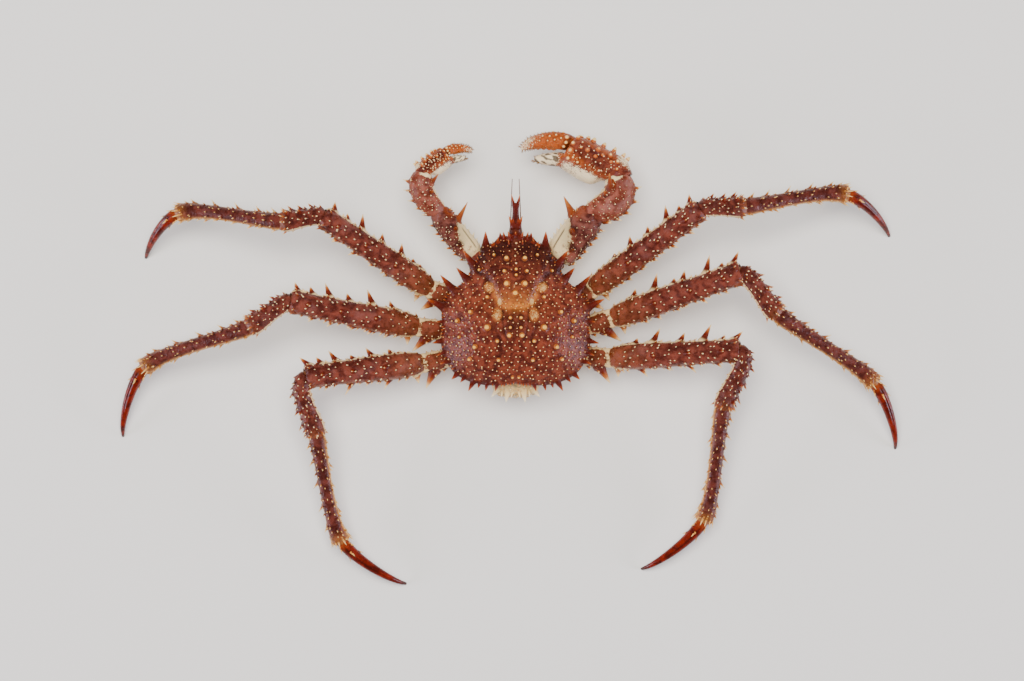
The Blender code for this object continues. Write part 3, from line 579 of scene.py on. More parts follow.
clawShell = shellMaterial("clawShellWornChitin", (
    "#4e1c14 #86402c #7c4c50 #b4561e #f0dcb4 #2c0c05 #b8602c "
    "#a84e22 #cc8240 #e8c68a #f3e4c0 #f6deae #f2cc84"), paintedSheen=0.5, stipple=1.5)
toeShell = shellMaterial("dactylShellPolishedChitin", (
    "#440b03 #781c0b #582018 #a04a1c #d8a05c #1c0603 #9c4524 "
    "#7a2410 #b85c20 #dca050 #ecc480 #d8a058 #d8a058"), 0.18, 0.30)
underShell = shellMaterial("undersideShellUnpigmented", (
    "#b48c5c #d4b888 #c09474 #c47c3e #dac494 #6a4020 #d4a868 "
    "#d4a868 #e2c284 #ead2a0 #f2e2bc #e8d2a4 #e8d2a4"), 0.40)


# Soft joint skin and the thin plates of the underside: uncoloured cuticle, matte and slightly
# translucent, with fine folds.
cuticle = {"patch": 6, "speck": 0.9, "fold": 6, "foldHeight": 0.3,       # mm
           "ior": 1.5, "scatter": 0.15, "scatterDepth": 1.5, "scatterRadius": (1, 0.6, 0.4)}


def cuticleMaterial(name, light, dark, roughness, folds):
    material, tree, shader = newMaterial(name)
    place = objectPlace(tree)
    blend = addNode(tree, "ShaderNodeMapRange", None,
                    {"Value": cloud(tree, place, cuticle["patch"], 4.0), "From Min": 0.38,
                     "From Max": 0.68}).outputs["Result"]
    colour = addNode(tree, "ShaderNodeMix", {"data_type": "RGBA"}, {0: blend, 6: light, 7: dark})
    ripple = addNode(tree, "ShaderNodeTexWave", {"wave_type": "BANDS"},
                     {"Vector": place, "Scale": 1 / (folds * cuticle["fold"] * mm),
                      "Distortion": 5.0, "Detail": 2.0}).outputs["Fac"]
    height = addNode(tree, "ShaderNodeMath", {"operation": "ADD"},
                     {0: ripple, 1: cloud(tree, place, cuticle["speck"])}).outputs[0]
    bump = addNode(tree, "ShaderNodeBump", None,
                   {"Height": height, "Strength": 0.4, "Distance": cuticle["foldHeight"] * mm})
    feed(tree, shader, {
        "Base Color": colour.outputs[2], "Normal": bump.outputs["Normal"],
        "Roughness": roughness, "IOR": cuticle["ior"], "Subsurface Weight": cuticle["scatter"],
        "Subsurface Radius": cuticle["scatterRadius"],
        "Subsurface Scale": cuticle["scatterDepth"] * mm})
    return material


jointSkin = cuticleMaterial("jointMembraneSoftCuticle", "#8e5a38", "#54240f", 0.5, 1.0)
feelerSkin = cuticleMaterial("feelerThinCuticle", "#6e3c22", "#38190f", 0.42, 0.5)


# Cornea: a clear smooth lens over black pigment, so a hard bright highlight on black.
def corneaMaterial(name, facet=0.25):
    material, tree, shader = newMaterial(name)
    facets = addNode(tree, "ShaderNodeTexVoronoi", None,
                     {"Vector": objectPlace(tree), "Scale": 1 / (facet * mm)})
    glint = addNode(tree, "ShaderNodeMapRange", None,
                    {"Value": facets.outputs["Distance"], "To Min": 0.06, "To Max": 0.16})
    feed(tree, shader, {"Base Color": "#120c0a", "Roughness": glint.outputs["Result"], "IOR": 1.45,
                        "Coat Weight": 1.0, "Coat Roughness": 0.04})
    return material


# Bristles: stiff golden chitin hairs in tufts, mottled dark and light.
def bristleMaterial(name, light="#c08a48", dark="#5a3416"):
    material, tree, shader = newMaterial(name)
    colour = addNode(tree, "ShaderNodeMix", {"data_type": "RGBA"},
                     {0: cloud(tree, objectPlace(tree), 1.5), 6: dark, 7: light})
    feed(tree, shader, {"Base Color": colour.outputs[2], "Roughness": 0.45})
    return material


cornea = corneaMaterial("corneaClearOverPigment")
bristle = bristleMaterial("bristleGoldenChitin")
print("materials made")


carapace = {
    "centreY": 6,
    "outline": ((0, 74), (10, 76), (16, 71.5), (22, 72.5), (30, 65), (39, 60.5), (48, 57.6),
                (57, 59.2), (68, 64), (80, 64), (92, 62.5), (104, 65.5), (115, 66.5),
                (127, 66.5), (136, 64), (149, 59), (163, 54), (180, 50)),
    "edgeHeight": 49, "riseFront": 8, "riseRear": 4, "domeRise": 21.9, "domePower": 2.3,
    "middleRise": 4, "fade": 6,       # the swellings and the dome fade out towards the edge
    # share of the way out, height of the underside, which is turned in below the edge
    "skirt": ((0, 41.4), (0.7, 41.4), (0.86, 42.6), (0.97, 45)), "edgeThickness": 1.6,
    "ballSides": 200, "ballRings": 120, "ballCrowding": 0.9, "voxel": 0.8,
    # swellings of the back: x, y, spread x, spread y, height
    "regions": ((0, -38, 17, 15, 3.4), (0, 8, 10, 12, 3),
                (34, 16, 19, 22, 3.5), (-34, 16, 19, 22, 3.5),
                (17, -12, 6, 8, -2), (-17, -12, 6, 8, -2),
                (0, -9, 12, 3, -2.5), (0, 40, 14, 9, -1.5)),
    # grooves on both sides: width, depth and the points they run through
    "grooves": ((2.4, 0.6, ((0, -9.4), (7, -9.8), (13.5, -12.6), (17.5, -20), (20.5, -28))),
                (2.2, 1.3, ((20.5, -28), (27, -36), (36, -41))),
                (1.2, 0.9, ((10.8, -6), (11, 3), (9.6, 11), (7, 19))),
                (1.8, 0.7, ((19, 6), (14, 16), (12, 30), (18, 44)))),
    # base x, y, tip x, y, rise, base radius
    "edgeSpines": ((25.8, -60.5, 25.5, -72.7, 4, 3.6), (37.5, -47, 44.2, -56.6, 7, 4),
                   (44.5, -35, 50, -42.2, 6, 3.4), (55.5, -24, 63.6, -36, 8, 3.8),
                   (62.5, -9, 74.9, -15.7, 8, 3.8), (63, 3, 67.5, 3.5, 3, 2.2),
                   (64, 20, 70.5, 21.6, 5, 2.6), (62.5, 30, 66.5, 32, 3, 2.2),
                   (58.5, 37.5, 64, 39.2, 5, 2.8), (49, 47, 54.2, 52.2, 5, 2.8),
                   (43, 50, 46.8, 54.8, 4, 2.2), (30.5, 54.5, 31.8, 59.6, 3, 2),
                   (36, 54, 40.1, 62.1, 4, 2.8), (24.5, 56, 25.5, 61.7, 3, 2.2),
                   (16, 57, 17.2, 62.2, 3, 2.2), (13, -67, 13.2, -72, 2, 2)),
    # x, y, radius, height
    "bigKnobs": ((7.5, -49.3, 2.1, 3), (9.1, -38.9, 1.6, 2.2), (7.1, -28.3, 2.5, 2.4),
                 (23.2, -17.3, 1.6, 2), (24, 8.5, 2.6, 3.2), (34, 24.6, 2, 2.6),
                 (38.5, 34.8, 1.7, 2.4), (37.7, -4.3, 1.9, 2.6), (48.5, 2.7, 1.9, 2.6),
                 (15.8, 19.5, 1.6, 2), (14.5, 35.1, 1.7, 2.2), (18, -52, 1.4, 2),
                 (30, -40, 1.4, 2), (4.2, 0, 1.5, 1.6), (4.1, 8.4, 1.3, 1.4),
                 (5.6, 15.1, 2.1, 2), (3, 50, 1.3, 1.6), (36, 9, 1.2, 1.6),
                 (47.2, 16, 1.3, 1.8), (17.5, -38, 1.1, 1.3), (25.5, -47, 1.2, 1.6),
                 (27, 18, 1.1, 1.3), (20.5, 27.5, 1, 1.2), (46, -14, 1.2, 1.6)),
    "midKnobs": ((0.4, -20.4, 2.5, 2.5), (0, -45.5, 1.2, 1.5), (0, -40, 1.4, 1.5),
                 (0, -35.5, 1.3, 1.5), (-0.8, -28.6, 1.2, 1.3), (0, -51.5, 1, 1.2),
                 (0, -57, 1, 1.3), (0, -62.5, 1.1, 1.5)),
    # mottled scars of the shell muscles: x, y, half width, half length
    "scars": ((15.3, -2.4, 4, 5.6), (13.4, -13.2, 2, 3.2), (22.6, -25.5, 4, 4.4)),
    "scarGrains": {"perArea": 1.3, "radius": (0.3, 0.5), "height": 0.3, "tone": 0.9},
    # small horns round the beak: base, tip, radius
    "browHorns": (((9, -65.5, 57), (10.6, -72.6, 61.5), 1.9),
                  ((14, -61.5, 56), (15.2, -68.2, 60), 1.7),
                  ((18.6, -58.5, 54.5), (19.4, -64.8, 58.5), 1.6),
                  ((5.6, -60, 60), (6, -65.5, 64), 1.4)),
    # the spines of the edge: share of the way out, depth of the root, thickening, curl, tones
    "edgeSet": {"share": 0.955, "sink": 2, "girth": 1.12, "curl": 0.07, "tones": (0, 0.88)},
    # small spines between them, pale behind: degrees round, spacing, clearance
    "smallSpines": {"count": 60, "start": 24, "every": 2.6, "jitter": 0.5, "clear": 3,
                    "sink": 0.6, "rise": 0.55, "height": (2.4, 4.4), "radius": (0.8, 1.25),
                    "paleFrom": 125},
    # honeycomb of fine knobs, closer set over the front
    "fine": {"spacing": 4.6, "jitter": 1.3, "rowGap": 0.87, "radius": (0.6, 0.95),
             "height": (0.7, 1.3), "sizes": (1.3, 2.2), "edge": 0.97, "clear": 1.4,
             "deepest": 0.62, "leanBefore": -20, "tone": (0.7, 1), "frontFade": 0.22,
             "extraBefore": -30, "extraShare": 0.16, "extraTone": 0.75},
    # soft stains on both sides: mask, strength, place, half width, half length, flatness
    "stains": (("warm", 0.34, (0, -18), 12, 7, 1), ("warm", 0.12, (0, -12), 26, 14, 1),
               ("pale", 0.38, (13.8, -13.5), 1.8, 3, 1), ("shade", 0.5, (0, 6), 9.5, 12, 2)),
}


def outlineRadius(angle):
    return blendTable(carapace["outline"], math.degrees(abs(angle)))


def edgeHeight(angle):
    c = math.cos(angle)
    rise = carapace["riseFront"] if c > 0 else carapace["riseRear"]
    return carapace["edgeHeight"] + rise * c * c * abs(c)


def segmentDistance(x, y, a, b):
    ax, ay, bx, by = *a, *b
    t = ((x - ax) * (bx - ax) + (y - ay) * (by - ay)) / ((bx - ax)**2 + (by - ay)**2)
    t = min(max(t, 0.0), 1.0)
    return math.hypot(x - ax - t * (bx - ax), y - ay - t * (by - ay))


def grooveDepth(x, y):
    depth = 0.0
    for width, deep, points in carapace["grooves"]:
        closest = min(segmentDistance(abs(x), y, a, b) for a, b in zip(points, points[1:]))
        depth = max(depth, deep * math.exp(-(closest / width)**2))
    return depth


# Point of the back at an angle from straight ahead and a share of the way to the edge.
def backPlace(angle, share):
    radius = outlineRadius(angle) * share
    x, y = radius * math.sin(angle), carapace["centreY"] - radius * math.cos(angle)
    middle = carapace["edgeHeight"] + carapace["middleRise"]
    z = (edgeHeight(angle) * share**2 + middle * (1 - share**2)
         + carapace["domeRise"] * (1 - share**carapace["domePower"]))
    swell = sum(h * math.exp(-(((x - cx) / sx)**2 + ((y - cy) / sy)**2) / 2)
                for cx, cy, sx, sy, h in carapace["regions"])
    z += swell * (1 - share**carapace["fade"])
    return Vector((x, y, z - grooveDepth(x, y)))


def outlinePlace(x, y):
    y = carapace["centreY"] - y
    angle = math.atan2(x, y)
    return angle, math.hypot(x, y) / outlineRadius(angle)


def backPoint(x, y):
    return backPlace(*outlinePlace(x, y))


def backShare(x, y):
    return outlinePlace(x, y)[1]


# Ball whose upper half is pressed to the back and whose lower half to the underside.
def carapaceBody():
    bm = bmesh.new()
    bmesh.ops.create_uvsphere(bm, u_segments=carapace["ballSides"],
                              v_segments=carapace["ballRings"], radius=1)
    skirt = carapace["skirt"] + ((1.0, carapace["edgeHeight"] - carapace["edgeThickness"]),)
    for v in bm.verts:
        angle = math.atan2(v.co.x, -v.co.y)
        polar = math.acos(min(max(v.co.z, -1.0), 1.0)) / (math.pi / 2)
        if polar <= 1:
            v.co = backPlace(angle, math.sin(polar * math.pi / 2)**carapace["ballCrowding"])
        else:
            share = math.sin((2 - polar) * math.pi / 2)
            radius = outlineRadius(angle) * share
            lift = (edgeHeight(angle) - carapace["edgeHeight"]) * max(0.0, share - 0.7) / 0.3
            v.co = Vector((radius * math.sin(angle), carapace["centreY"] - radius * math.cos(angle),
                           blendTable(skirt, share) + lift))
    bmesh.ops.recalc_face_normals(bm, faces=bm.faces)
    return closeMesh(bm, "carapaceBody")


rostrum = {
    # y, height above the floor, half width, half thickness
    "shaft": ((-58, 57.5, 9, 5), (-66, 58, 7.6, 4.4), (-70.5, 58.8, 6, 3.9),
              (-74.5, 60.6, 4.7, 3.7), (-81, 62.5, 4.1, 3.3), (-84, 63.3, 3.2, 2.9),
              (-88, 64.3, 2.9, 2.6), (-93.5, 65.6, 2.8, 2.3), (-96.4, 66.4, 2.3, 1.8)),
    # base x, y, z, tip x, y, z, radius, on both sides
    "horns": (((1.5, -94.8, 65.9), (3.5, -103.7, 68.9), 1.39),
              ((2.6, -77.5, 62.6), (5.8, -85.6, 67.4), 2.1),
              ((4.6, -66.5, 61.5), (6.6, -72.6, 66.4), 1.8)),
    "midHorn": ((0, -67.5, 61), (0, -72.2, 66.4), 1.6),
    "rise": 0.24, "sides": 16, "curl": 0.05, "hornTones": (0.3, 1), "browTones": (0.25, 0.95),
}


def mirrored(point, side):
    return Vector((side * point[0], point[1], point[2]))


def makeCarapace():
    skin = Skin("carapacePlate")
    skin.add(carapaceBody())
    frames = [ringFrame(Vector((0, y, z)), Vector((0, -1, rostrum["rise"])), wide, thick,
                        sideAxis) for y, z, wide, thick in rostrum["shaft"]]
    skin.add(loft(frames, rostrum["sides"]))
    base, tip, radius = rostrum["midHorn"]
    skin.spine(Vector(base), Vector(tip), radius)
    edge = carapace["edgeSet"]
    for side in (-1, 1):
        for horns, tones in ((rostrum["horns"], rostrum["hornTones"]),
                             (carapace["browHorns"], rostrum["browTones"])):
            for base, tip, radius in horns:
                skin.spine(mirrored(base, side), mirrored(tip, side), radius, rostrum["curl"], tones)
        for bx, by, tx, ty, rise, radius in carapace["edgeSpines"]:
            angle = math.atan2(side * bx, carapace["centreY"] - by)
            base = backPlace(angle, edge["share"]) - Vector((0, 0, edge["sink"]))
            tip = Vector((side * tx, ty, edgeHeight(angle) + rise))
            skin.spine(base, tip, radius * edge["girth"], edge["curl"], edge["tones"])
        for x, y, radius, height in carapace["bigKnobs"]:
            skin.knob(backPoint(side * x, y), radius, height)
    for x, y, radius, height in carapace["midKnobs"]:
        skin.knob(backPoint(x, y), radius, height)
    addScarGrains(skin)
    addSmallSpines(skin)
    addFineKnobs(skin)
    skin.merge(carapace["voxel"])
    paintCarapace(skin)
    skin.finish(backShell, "carapace_shell", "carapace")


def addScarGrains(skin):
    grains = carapace["scarGrains"]
    for sx, sy, wide, high in carapace["scars"]:
        for _ in range(int(wide * high * grains["perArea"])):
            a, r = draws.uniform(0, 2 * math.pi), math.sqrt(draws.random())
            for side in (-1, 1):
                place = backPoint(side * (sx + math.cos(a) * r * wide), sy + math.sin(a) * r * high)
                skin.knob(place, pick(grains["radius"]), grains["height"], grains["tone"])


def addSmallSpines(skin):
    small = carapace["smallSpines"]
    taken = [math.atan2(s[0], carapace["centreY"] - s[1]) for s in carapace["edgeSpines"]]
    for side in (-1, 1):
        for k in range(small["count"]):
            degrees = small["start"] + k * small["every"] + draws.uniform(-small["jitter"],
                                                                          small["jitter"])
            angle = math.radians(degrees)
            if min(abs(angle - a) for a in taken) > math.radians(small["clear"]):
                base = backPlace(side * angle, carapace["edgeSet"]["share"])
                base.z -= small["sink"]
                out = Vector((side * math.sin(angle), -math.cos(angle), small["rise"])).normalized()
                tall = pick(small["height"])
                low = 0.35 if degrees > small["paleFrom"] else 0.15
                skin.spine(base, base + out * tall, pick(small["radius"]), 0.05, (low, 1.0))


def addFineKnobs(skin):
    fine = carapace["fine"]
    spacing, jitter = fine["spacing"], fine["jitter"]
    (thin, wide), (low, high) = fine["radius"], fine["height"]
    big = [(side * k[0], k[1], k[2]) for k in carapace["bigKnobs"] for side in (-1, 1)]
    big += [(k[0], k[1], k[2]) for k in carapace["midKnobs"]]
    for row in range(-18, 20):
        for column in range(-17, 18):
            x = (column + 0.5 * (row % 2)) * spacing + draws.uniform(-jitter, jitter)
            y = row * spacing * fine["rowGap"] + draws.uniform(-jitter, jitter)
            size = draws.betavariate(*fine["sizes"])
            clear = min(math.hypot(x - bx, y - by) - r for bx, by, r in big)
            scar = any(math.hypot((abs(x) - sx) / w, (y - sy) / h) < 1.0
                       for sx, sy, w, h in carapace["scars"])
            if (scar or clear <= fine["clear"] or backShare(x, y) >= fine["edge"]
                    or grooveDepth(x, y) >= fine["deepest"]):
                continue
            lean = Vector((0, -1, 0)) if y < fine["leanBefore"] else None
            tone = pick(fine["tone"]) - fine["frontFade"] * float(step(-22, -42, y))
            skin.knob(backPoint(x, y), thin + (wide - thin) * size, low + (high - low) * size,
                      tone, lean)
            if y < fine["extraBefore"] and draws.random() < fine["extraShare"]:
                x, y = x + spacing * 0.5, y + draws.uniform(1.2, 2.4)
                if backShare(x, y) < fine["edge"]:
                    skin.knob(backPoint(x, y), thin, low, fine["extraTone"])


# Distance from every point to a line of points mirrored on the other side.
def nearLine(x, y, points):
    closest = np.full(len(x), 99.0)
    for (ax, ay), (bx, by) in zip(points, points[1:]):
        t = ((abs(x) - ax) * (bx - ax) + (y - ay) * (by - ay)) / ((bx - ax)**2 + (by - ay)**2)
        t = np.clip(t, 0, 1)
        away = np.hypot(abs(x) - ax - t * (bx - ax), y - ay - t * (by - ay))
        closest = np.minimum(closest, away)
    return closest


def paintCarapace(skin):
    x, y, z = skin.co.T
    across = abs(x)
    warm, pale, shade = skin.masks["warm"], skin.masks["pale"], skin.masks["shade"]
    upper = step(0.0, 0.35, skin.normal[:, 2])
    for key, strength, place, wide, long, flatness in carapace["stains"]:
        skin.masks[key] += upper * strength * spot(across, y, place, wide, long, flatness)
    # tan groove behind the stomach region, widest in the middle
    fromGroove = nearLine(x, y, carapace["grooves"][0][2])
    tan = hill(fromGroove, 0, 3.8 - 1.4 * step(6, 16, across)) * (1 - 0.5 * step(12, 21, across))
    warm += upper * tan * 0.95
    pale += upper * 0.36 * hill(fromGroove, 0.2, 1.6) * hill(x, 0, 4.0)
    for sx, sy, wide, long in carapace["scars"]:
        away = np.hypot((across - sx) / wide, (y - sy) / long)
        pale += upper * 0.44 * step(1.2, 0.6, away)
        warm += upper * 0.60 * step(1.4, 0.7, away)
        shade += upper * 0.30 * hill(away, 1.2, 0.2)
    # darker pigment over the front, deepened with painted shade; darker round the edge, and painted
    # shade in the grooves
    shade += upper * 0.55 * step(-24, -52, y) * (1 - 0.35 * hill(x, 0, 6))
    shade += upper * 0.30 * step(0.82, 1.0, np.hypot(x, y - carapace["centreY"]) / 66)
    for width, _, points in carapace["grooves"][1:]:
        shade += upper * 0.50 * hill(nearLine(x, y, points), 0, width)
    beak = step(-70, -76, y) * (0.14 + 0.35 * step(-80, -104, y))
    skin.masks["spine"] = np.maximum(skin.masks["spine"], beak)
    pale += (1 - upper) * step(46.5, 42.5, z) * 1.2          # uncoloured underside


legs = {        # start of the merus, base x and y, then length, heading and pitch of each plate
    "leg1_R": ((-66, -24.9, 35), (36.5, -13), (116.5, 36.6, 17.5), (37, 3, -6),
               (95.5, 7.5, -17), (66, -39)),
    "leg2_R": ((-83.1, -0.1, 35), (36.5, 15), (117.5, 19.5, 16.5), (47, -47.5, -10),
               (109, -34.5, -16), (68.5, -68.5)),
    "leg3_R": ((-81.4, 34.1, 35), (36.5, 31), (110.5, 3.5, 14), (51.5, -104.5, -13.5),
               (103, -98.5, -16), (71, -140)),
    "leg1_L": ((73.2, -24.9, 35), (36.5, -13), (112.5, 34, 18), (34.5, -6.5, -6.5),
               (96.5, 5, -17), (62, -48)),
    "leg2_L": ((84.3, 7.6, 35), (36.5, 15), (112, 11.5, 17), (41.5, -31.5, -11),
               (104.5, -20.5, -17), (70.5, -69)),
    "leg3_L": ((80, 38.8, 35), (36.5, 31), (101, -6.5, 15.5), (51.5, -99, -13.5),
               (98.5, -102, -16.5), (70, -144.5)),
}
# along the merus, reach of the tip from its middle line; the short ones were worn or small
frontSpines = {
    "leg1_R": ((.29, 13.5), (.46, 17.5), (.61, 15), (.81, 20), (.89, 13.5), (1, 14.5)),
    "leg2_R": ((.18, 12.5), (.23, 17), (.42, 23), (.53, 14.5), (.62, 17.5), (.83, 22.5),
               (.9, 13.5), (1.04, 16.5)),
    "leg3_R": ((.15, 12), (.22, 15.5), (.4, 22.5), (.59, 17.5), (.8, 23), (.9, 13.5),
               (1.04, 14.5)),
    "leg1_L": ((.17, 12.8), (.24, 13.5), (.38, 18.5), (.55, 16.5), (.76, 20.5), (.86, 14),
               (.99, 15)),
    "leg2_L": ((.18, 12.5), (.25, 17), (.44, 22.5), (.59, 16), (.77, 20.5), (.88, 15.5),
               (1, 15)),
    "leg3_L": ((.2, 12), (.28, 15.5), (.47, 18.5), (.61, 14), (.79, 19.5), (.9, 15.5),
               (1.04, 15.5)),
}
rearSpines = {
    "leg1_R": ((.28, 13), (.4, 12), (.52, 12.5), (.7, 14), (.86, 13)),
    "leg2_R": ((.24, 13.5), (.34, 14), (.49, 12.5), (.7, 14), (.87, 12.5)),
    "leg3_R": ((.28, 17), (.46, 13), (.66, 16), (.86, 13)),
    "leg1_L": ((.24, 13.5), (.36, 12.5), (.5, 12), (.68, 14), (.84, 12.5)),
    "leg2_L": ((.24, 14), (.37, 13.5), (.51, 13), (.69, 14), (.84, 13)),
    "leg3_L": ((.35, 17), (.5, 12.5), (.69, 18), (.86, 12.5)),
}
limb = {
    "hipHeight": 29, "kneeShare": 0.4,
    # how late a plate turns out of the way it starts in
    "kneePull": {"leg1": 0.55, "leg2": 0.55, "leg3": 0.85}, "shinPull": 0.6, "toePull": 0.85,
    "spurReach": {"leg1": 18.5, "leg2": 20.5, "leg3": 20.5}, "heelReach": 16.5,
    "girth": {"leg1": 1, "leg2": 1.05, "leg3": 1.05},
    "skinShare": 0.9, "skinFlat": 0.93,        # the soft skin in a joint
    # far end, a cuff round the next plate, and near end, a neck: lift, share of the width
    "cuff": ((0.8, 0.97), (1.5, 0.9), (1.6, 0.82), (0.9, 0.77), (-1.2, 0.75)),
    "neck": ((-1.3, 0.7), (-1, 0.82), (0, 0.92)),
}

# Settings of each plate, in millimetres, and in degrees round from its front edge.
# profile: place along it, half width. section: sides, squareness. flat: height over width.
# spines: place along, degrees, reach from the middle line, radius, lean, tones of base and tip.
# thorns: the same, with the height above the skin in place of the reach.
# edges, rows of small spines: degrees, spacing, heights, radii, from, to, lean, jitter, tones.
# lobes: degrees, size, length. ring, round the far end: degrees, heights, radius, tones, lean.
# grains, rows of knobs: degrees of the rows, spacing, radii, heights, from, to, tone.
# paint: pale front edge and its width, pale underside, warm rear.
plates = {
    "base": {
        "profile": ((0, 6.2), (.2, 7.2), (.45, 6.9), (.72, 9), (1, 7.6)),
        "section": (26, 2.2), "flat": 0.92, "voxel": 0.66,
        "thorns": ((.8, 172, 4.5, 2.4, 0.4, (0.3, 1)), (.62, 178, 2.8, 2, 0.4, (0.4, 1))),
        "edges": ((0, 6, (1.2, 2.4), (1, 1.3), 0.5, 0.98, 0.5, 5, (0.4, 1)),
                  (150, 6, (1.2, 2.2), (0.9, 1.2), 0.45, 0.9, 0.5, 5, (0.4, 1))),
        "lobes": ((20, 3.2, 1.3), (90, 2.8, 1.4), (160, 3, 1.3)),
        "grains": (((35, 65, 95, 125), 5.2, (0.55, 0.95), (0.6, 1.1), 0.5, 0.97),),
        "paint": (0.4, 50, 0.8, 0), "seam": (0.47, 0.022, 0.9),
    },
    "merus": {
        "profile": ((0, 7.8), (.05, 9.6), (.16, 10.6), (.3, 10.7), (.44, 10.4), (.57, 10),
                    (.7, 9.7), (.83, 9.4), (.95, 9.5), (1, 8)),
        "section": (30, 2.25), "flat": 0.95, "voxel": 0.68,
        "spines": ((.36, 90, 13.2, 1.6, 0.9, (0.1, 1)), (.64, 90, 13.2, 1.6, 0.9, (0.1, 1)),
                   (.9, 90, 13.2, 1.6, 0.9, (0.1, 1))),
        "edges": ((2, 6.4, (0.8, 2.4), (1.2, 1.8), 0.08, 0.98, 0.8, 8, (0.88, 1)),
                  (176, 7, (1.4, 3.4), (1, 1.4), 0.06, 0.96, 0.8, 10, (0.35, 1.3))),
        "lobes": ((12, 4.2, 1.3), (62, 3.4, 1.3), (118, 3.2, 1.3), (168, 4, 1.3)),
        "ring": ((25, 55, 125, 160), (1.6, 3), 1.2, (0.2, 1), 1.2),
        "grains": (((26, 46, 66, 88, 110, 132, 154), 8.2, (0.48, 0.82), (1.8, 3.2), .03, .97, 1.2),
                   ((-30, -70, -110, -150), 9, (0.5, 0.8), (0.5, 0.9), 0.06, 0.95, 0.8)),
        "paint": (0.75, 24, 0.5, 0.45),
    },
    "carpus": {
        "profile": ((0, 6.2), (.18, 7.4), (.42, 7.5), (.66, 7.9), (.9, 8.9), (1, 7.4)),
        "section": (26, 2.15), "flat": 0.95, "voxel": 0.6,
        "spines": ((.4, 0, 12, 1.9, 0.8, (0.1, 1)), (.64, 0, 12.5, 1.9, 0.8, (0.1, 1)),
                   (.86, 0, 14, 1.9, 0.8, (0.1, 1)), (.62, 45, 11.5, 1.6, 0.8, (0.1, 1)),
                   (.88, 45, 12.5, 1.6, 0.8, (0.1, 1))),
        "edges": ((4, 5, (1.4, 3.2), (1, 1.4), 0.1, 0.97, 0.8, 9),
                  (176, 7, (0.8, 1.8), (0.8, 1.1), 0.15, 0.95, 0.8, 5, (0.5, 1)),
                  (100, 8, (1.4, 2.6), (0.9, 1.2), 0.15, 0.95, 0.8, 14)),
        "lobes": ((30, 3.2, 1.3), (150, 3.2, 1.3)),
        # cluster of long yellow spines at the outer end
        "ring": ((-15, 5, 22, 40, 62, 95, 130, 165), (1.8, 3.2), 1.15, (0.45, 1), 1.1),
        "grains": (((25, 48, 72, 96, 120, 145), 5.4, (0.5, 0.85), (1.3, 2.4)),
                   ((-35, -80, -125), 7, (0.5, 0.7), (0.4, 0.7), 0.1, 0.9, 0.8)),
        "paint": (0, 30, 0.8, 0),
    },
    "propodus": {
        "profile": ((0, 6.5), (.06, 7.4), (.22, 6.7), (.4, 6.1), (.58, 6), (.76, 6.6),
                    (.93, 7.8), (1, 5.8)),
        "section": (26, 2.1), "flat": 0.95, "voxel": 0.6,
        "spines": tuple((t, 0, 11, 1.5, 1.1, (0.2, 1.2)) for t in (.15, .31, .49, .67, .84))
        + tuple((t, 180, 9.5, 1.3, 1.2, (0.4, 1)) for t in (.35, .71)),
        "edges": ((3, 10, (0.8, 2.4), (0.9, 1.2), 0.05, 0.95, 1.2, 8, (0.4, 1.2)),
                  (178, 11, (1.2, 2.6), (0.9, 1.2), 0.08, 0.92, 1.4, 8, (0.5, 1.2)),
                  (55, 16, (0.8, 1.8), (0.8, 1), 0.08, 0.92, 1.4, 10, (0.3, 1)),
                  (120, 20, (0.8, 1.6), (0.8, 1), 0.08, 0.92, 1.4, 10, (0.3, 1))),
        "lobes": ((20, 2.6, 1.4), (160, 2.6, 1.4)),
        "ring": ((-60, -25, 0, 22, 45, 75, 105, 135, 165, 195, 235), (0.9, 1.8), 1,
                 (0.62, 0.97), 2.4),
        "grains": (((30, 60, 90, 120, 150), 9, (0.45, 0.75), (1.2, 2.4), 0.04, 0.96),),
        "paint": (0, 26, 0.4, 1),
    },
    "dactyl": {
        "profile": ((0, 4.8), (.1, 5.4), (.3, 4.7), (.52, 3.8), (.74, 2.7), (1, 1.3)),
        "section": (22, 2.05), "flat": 0.92, "voxel": 0.58, "smoothing": 3,
        "spines": tuple((*row, 1, 2, (0.6, 0.97)) for row in (
            (.13, 25, 7.6), (.15, 150, 7.4), (.24, 90, 6.4), (.27, -10, 6.8), (.3, 185, 6.4))),
        # grooves along it: degrees round, width; how deep
        "grooves": ((78, 9), (-80, 10)), "grooveDepth": 0.45,
    },
}


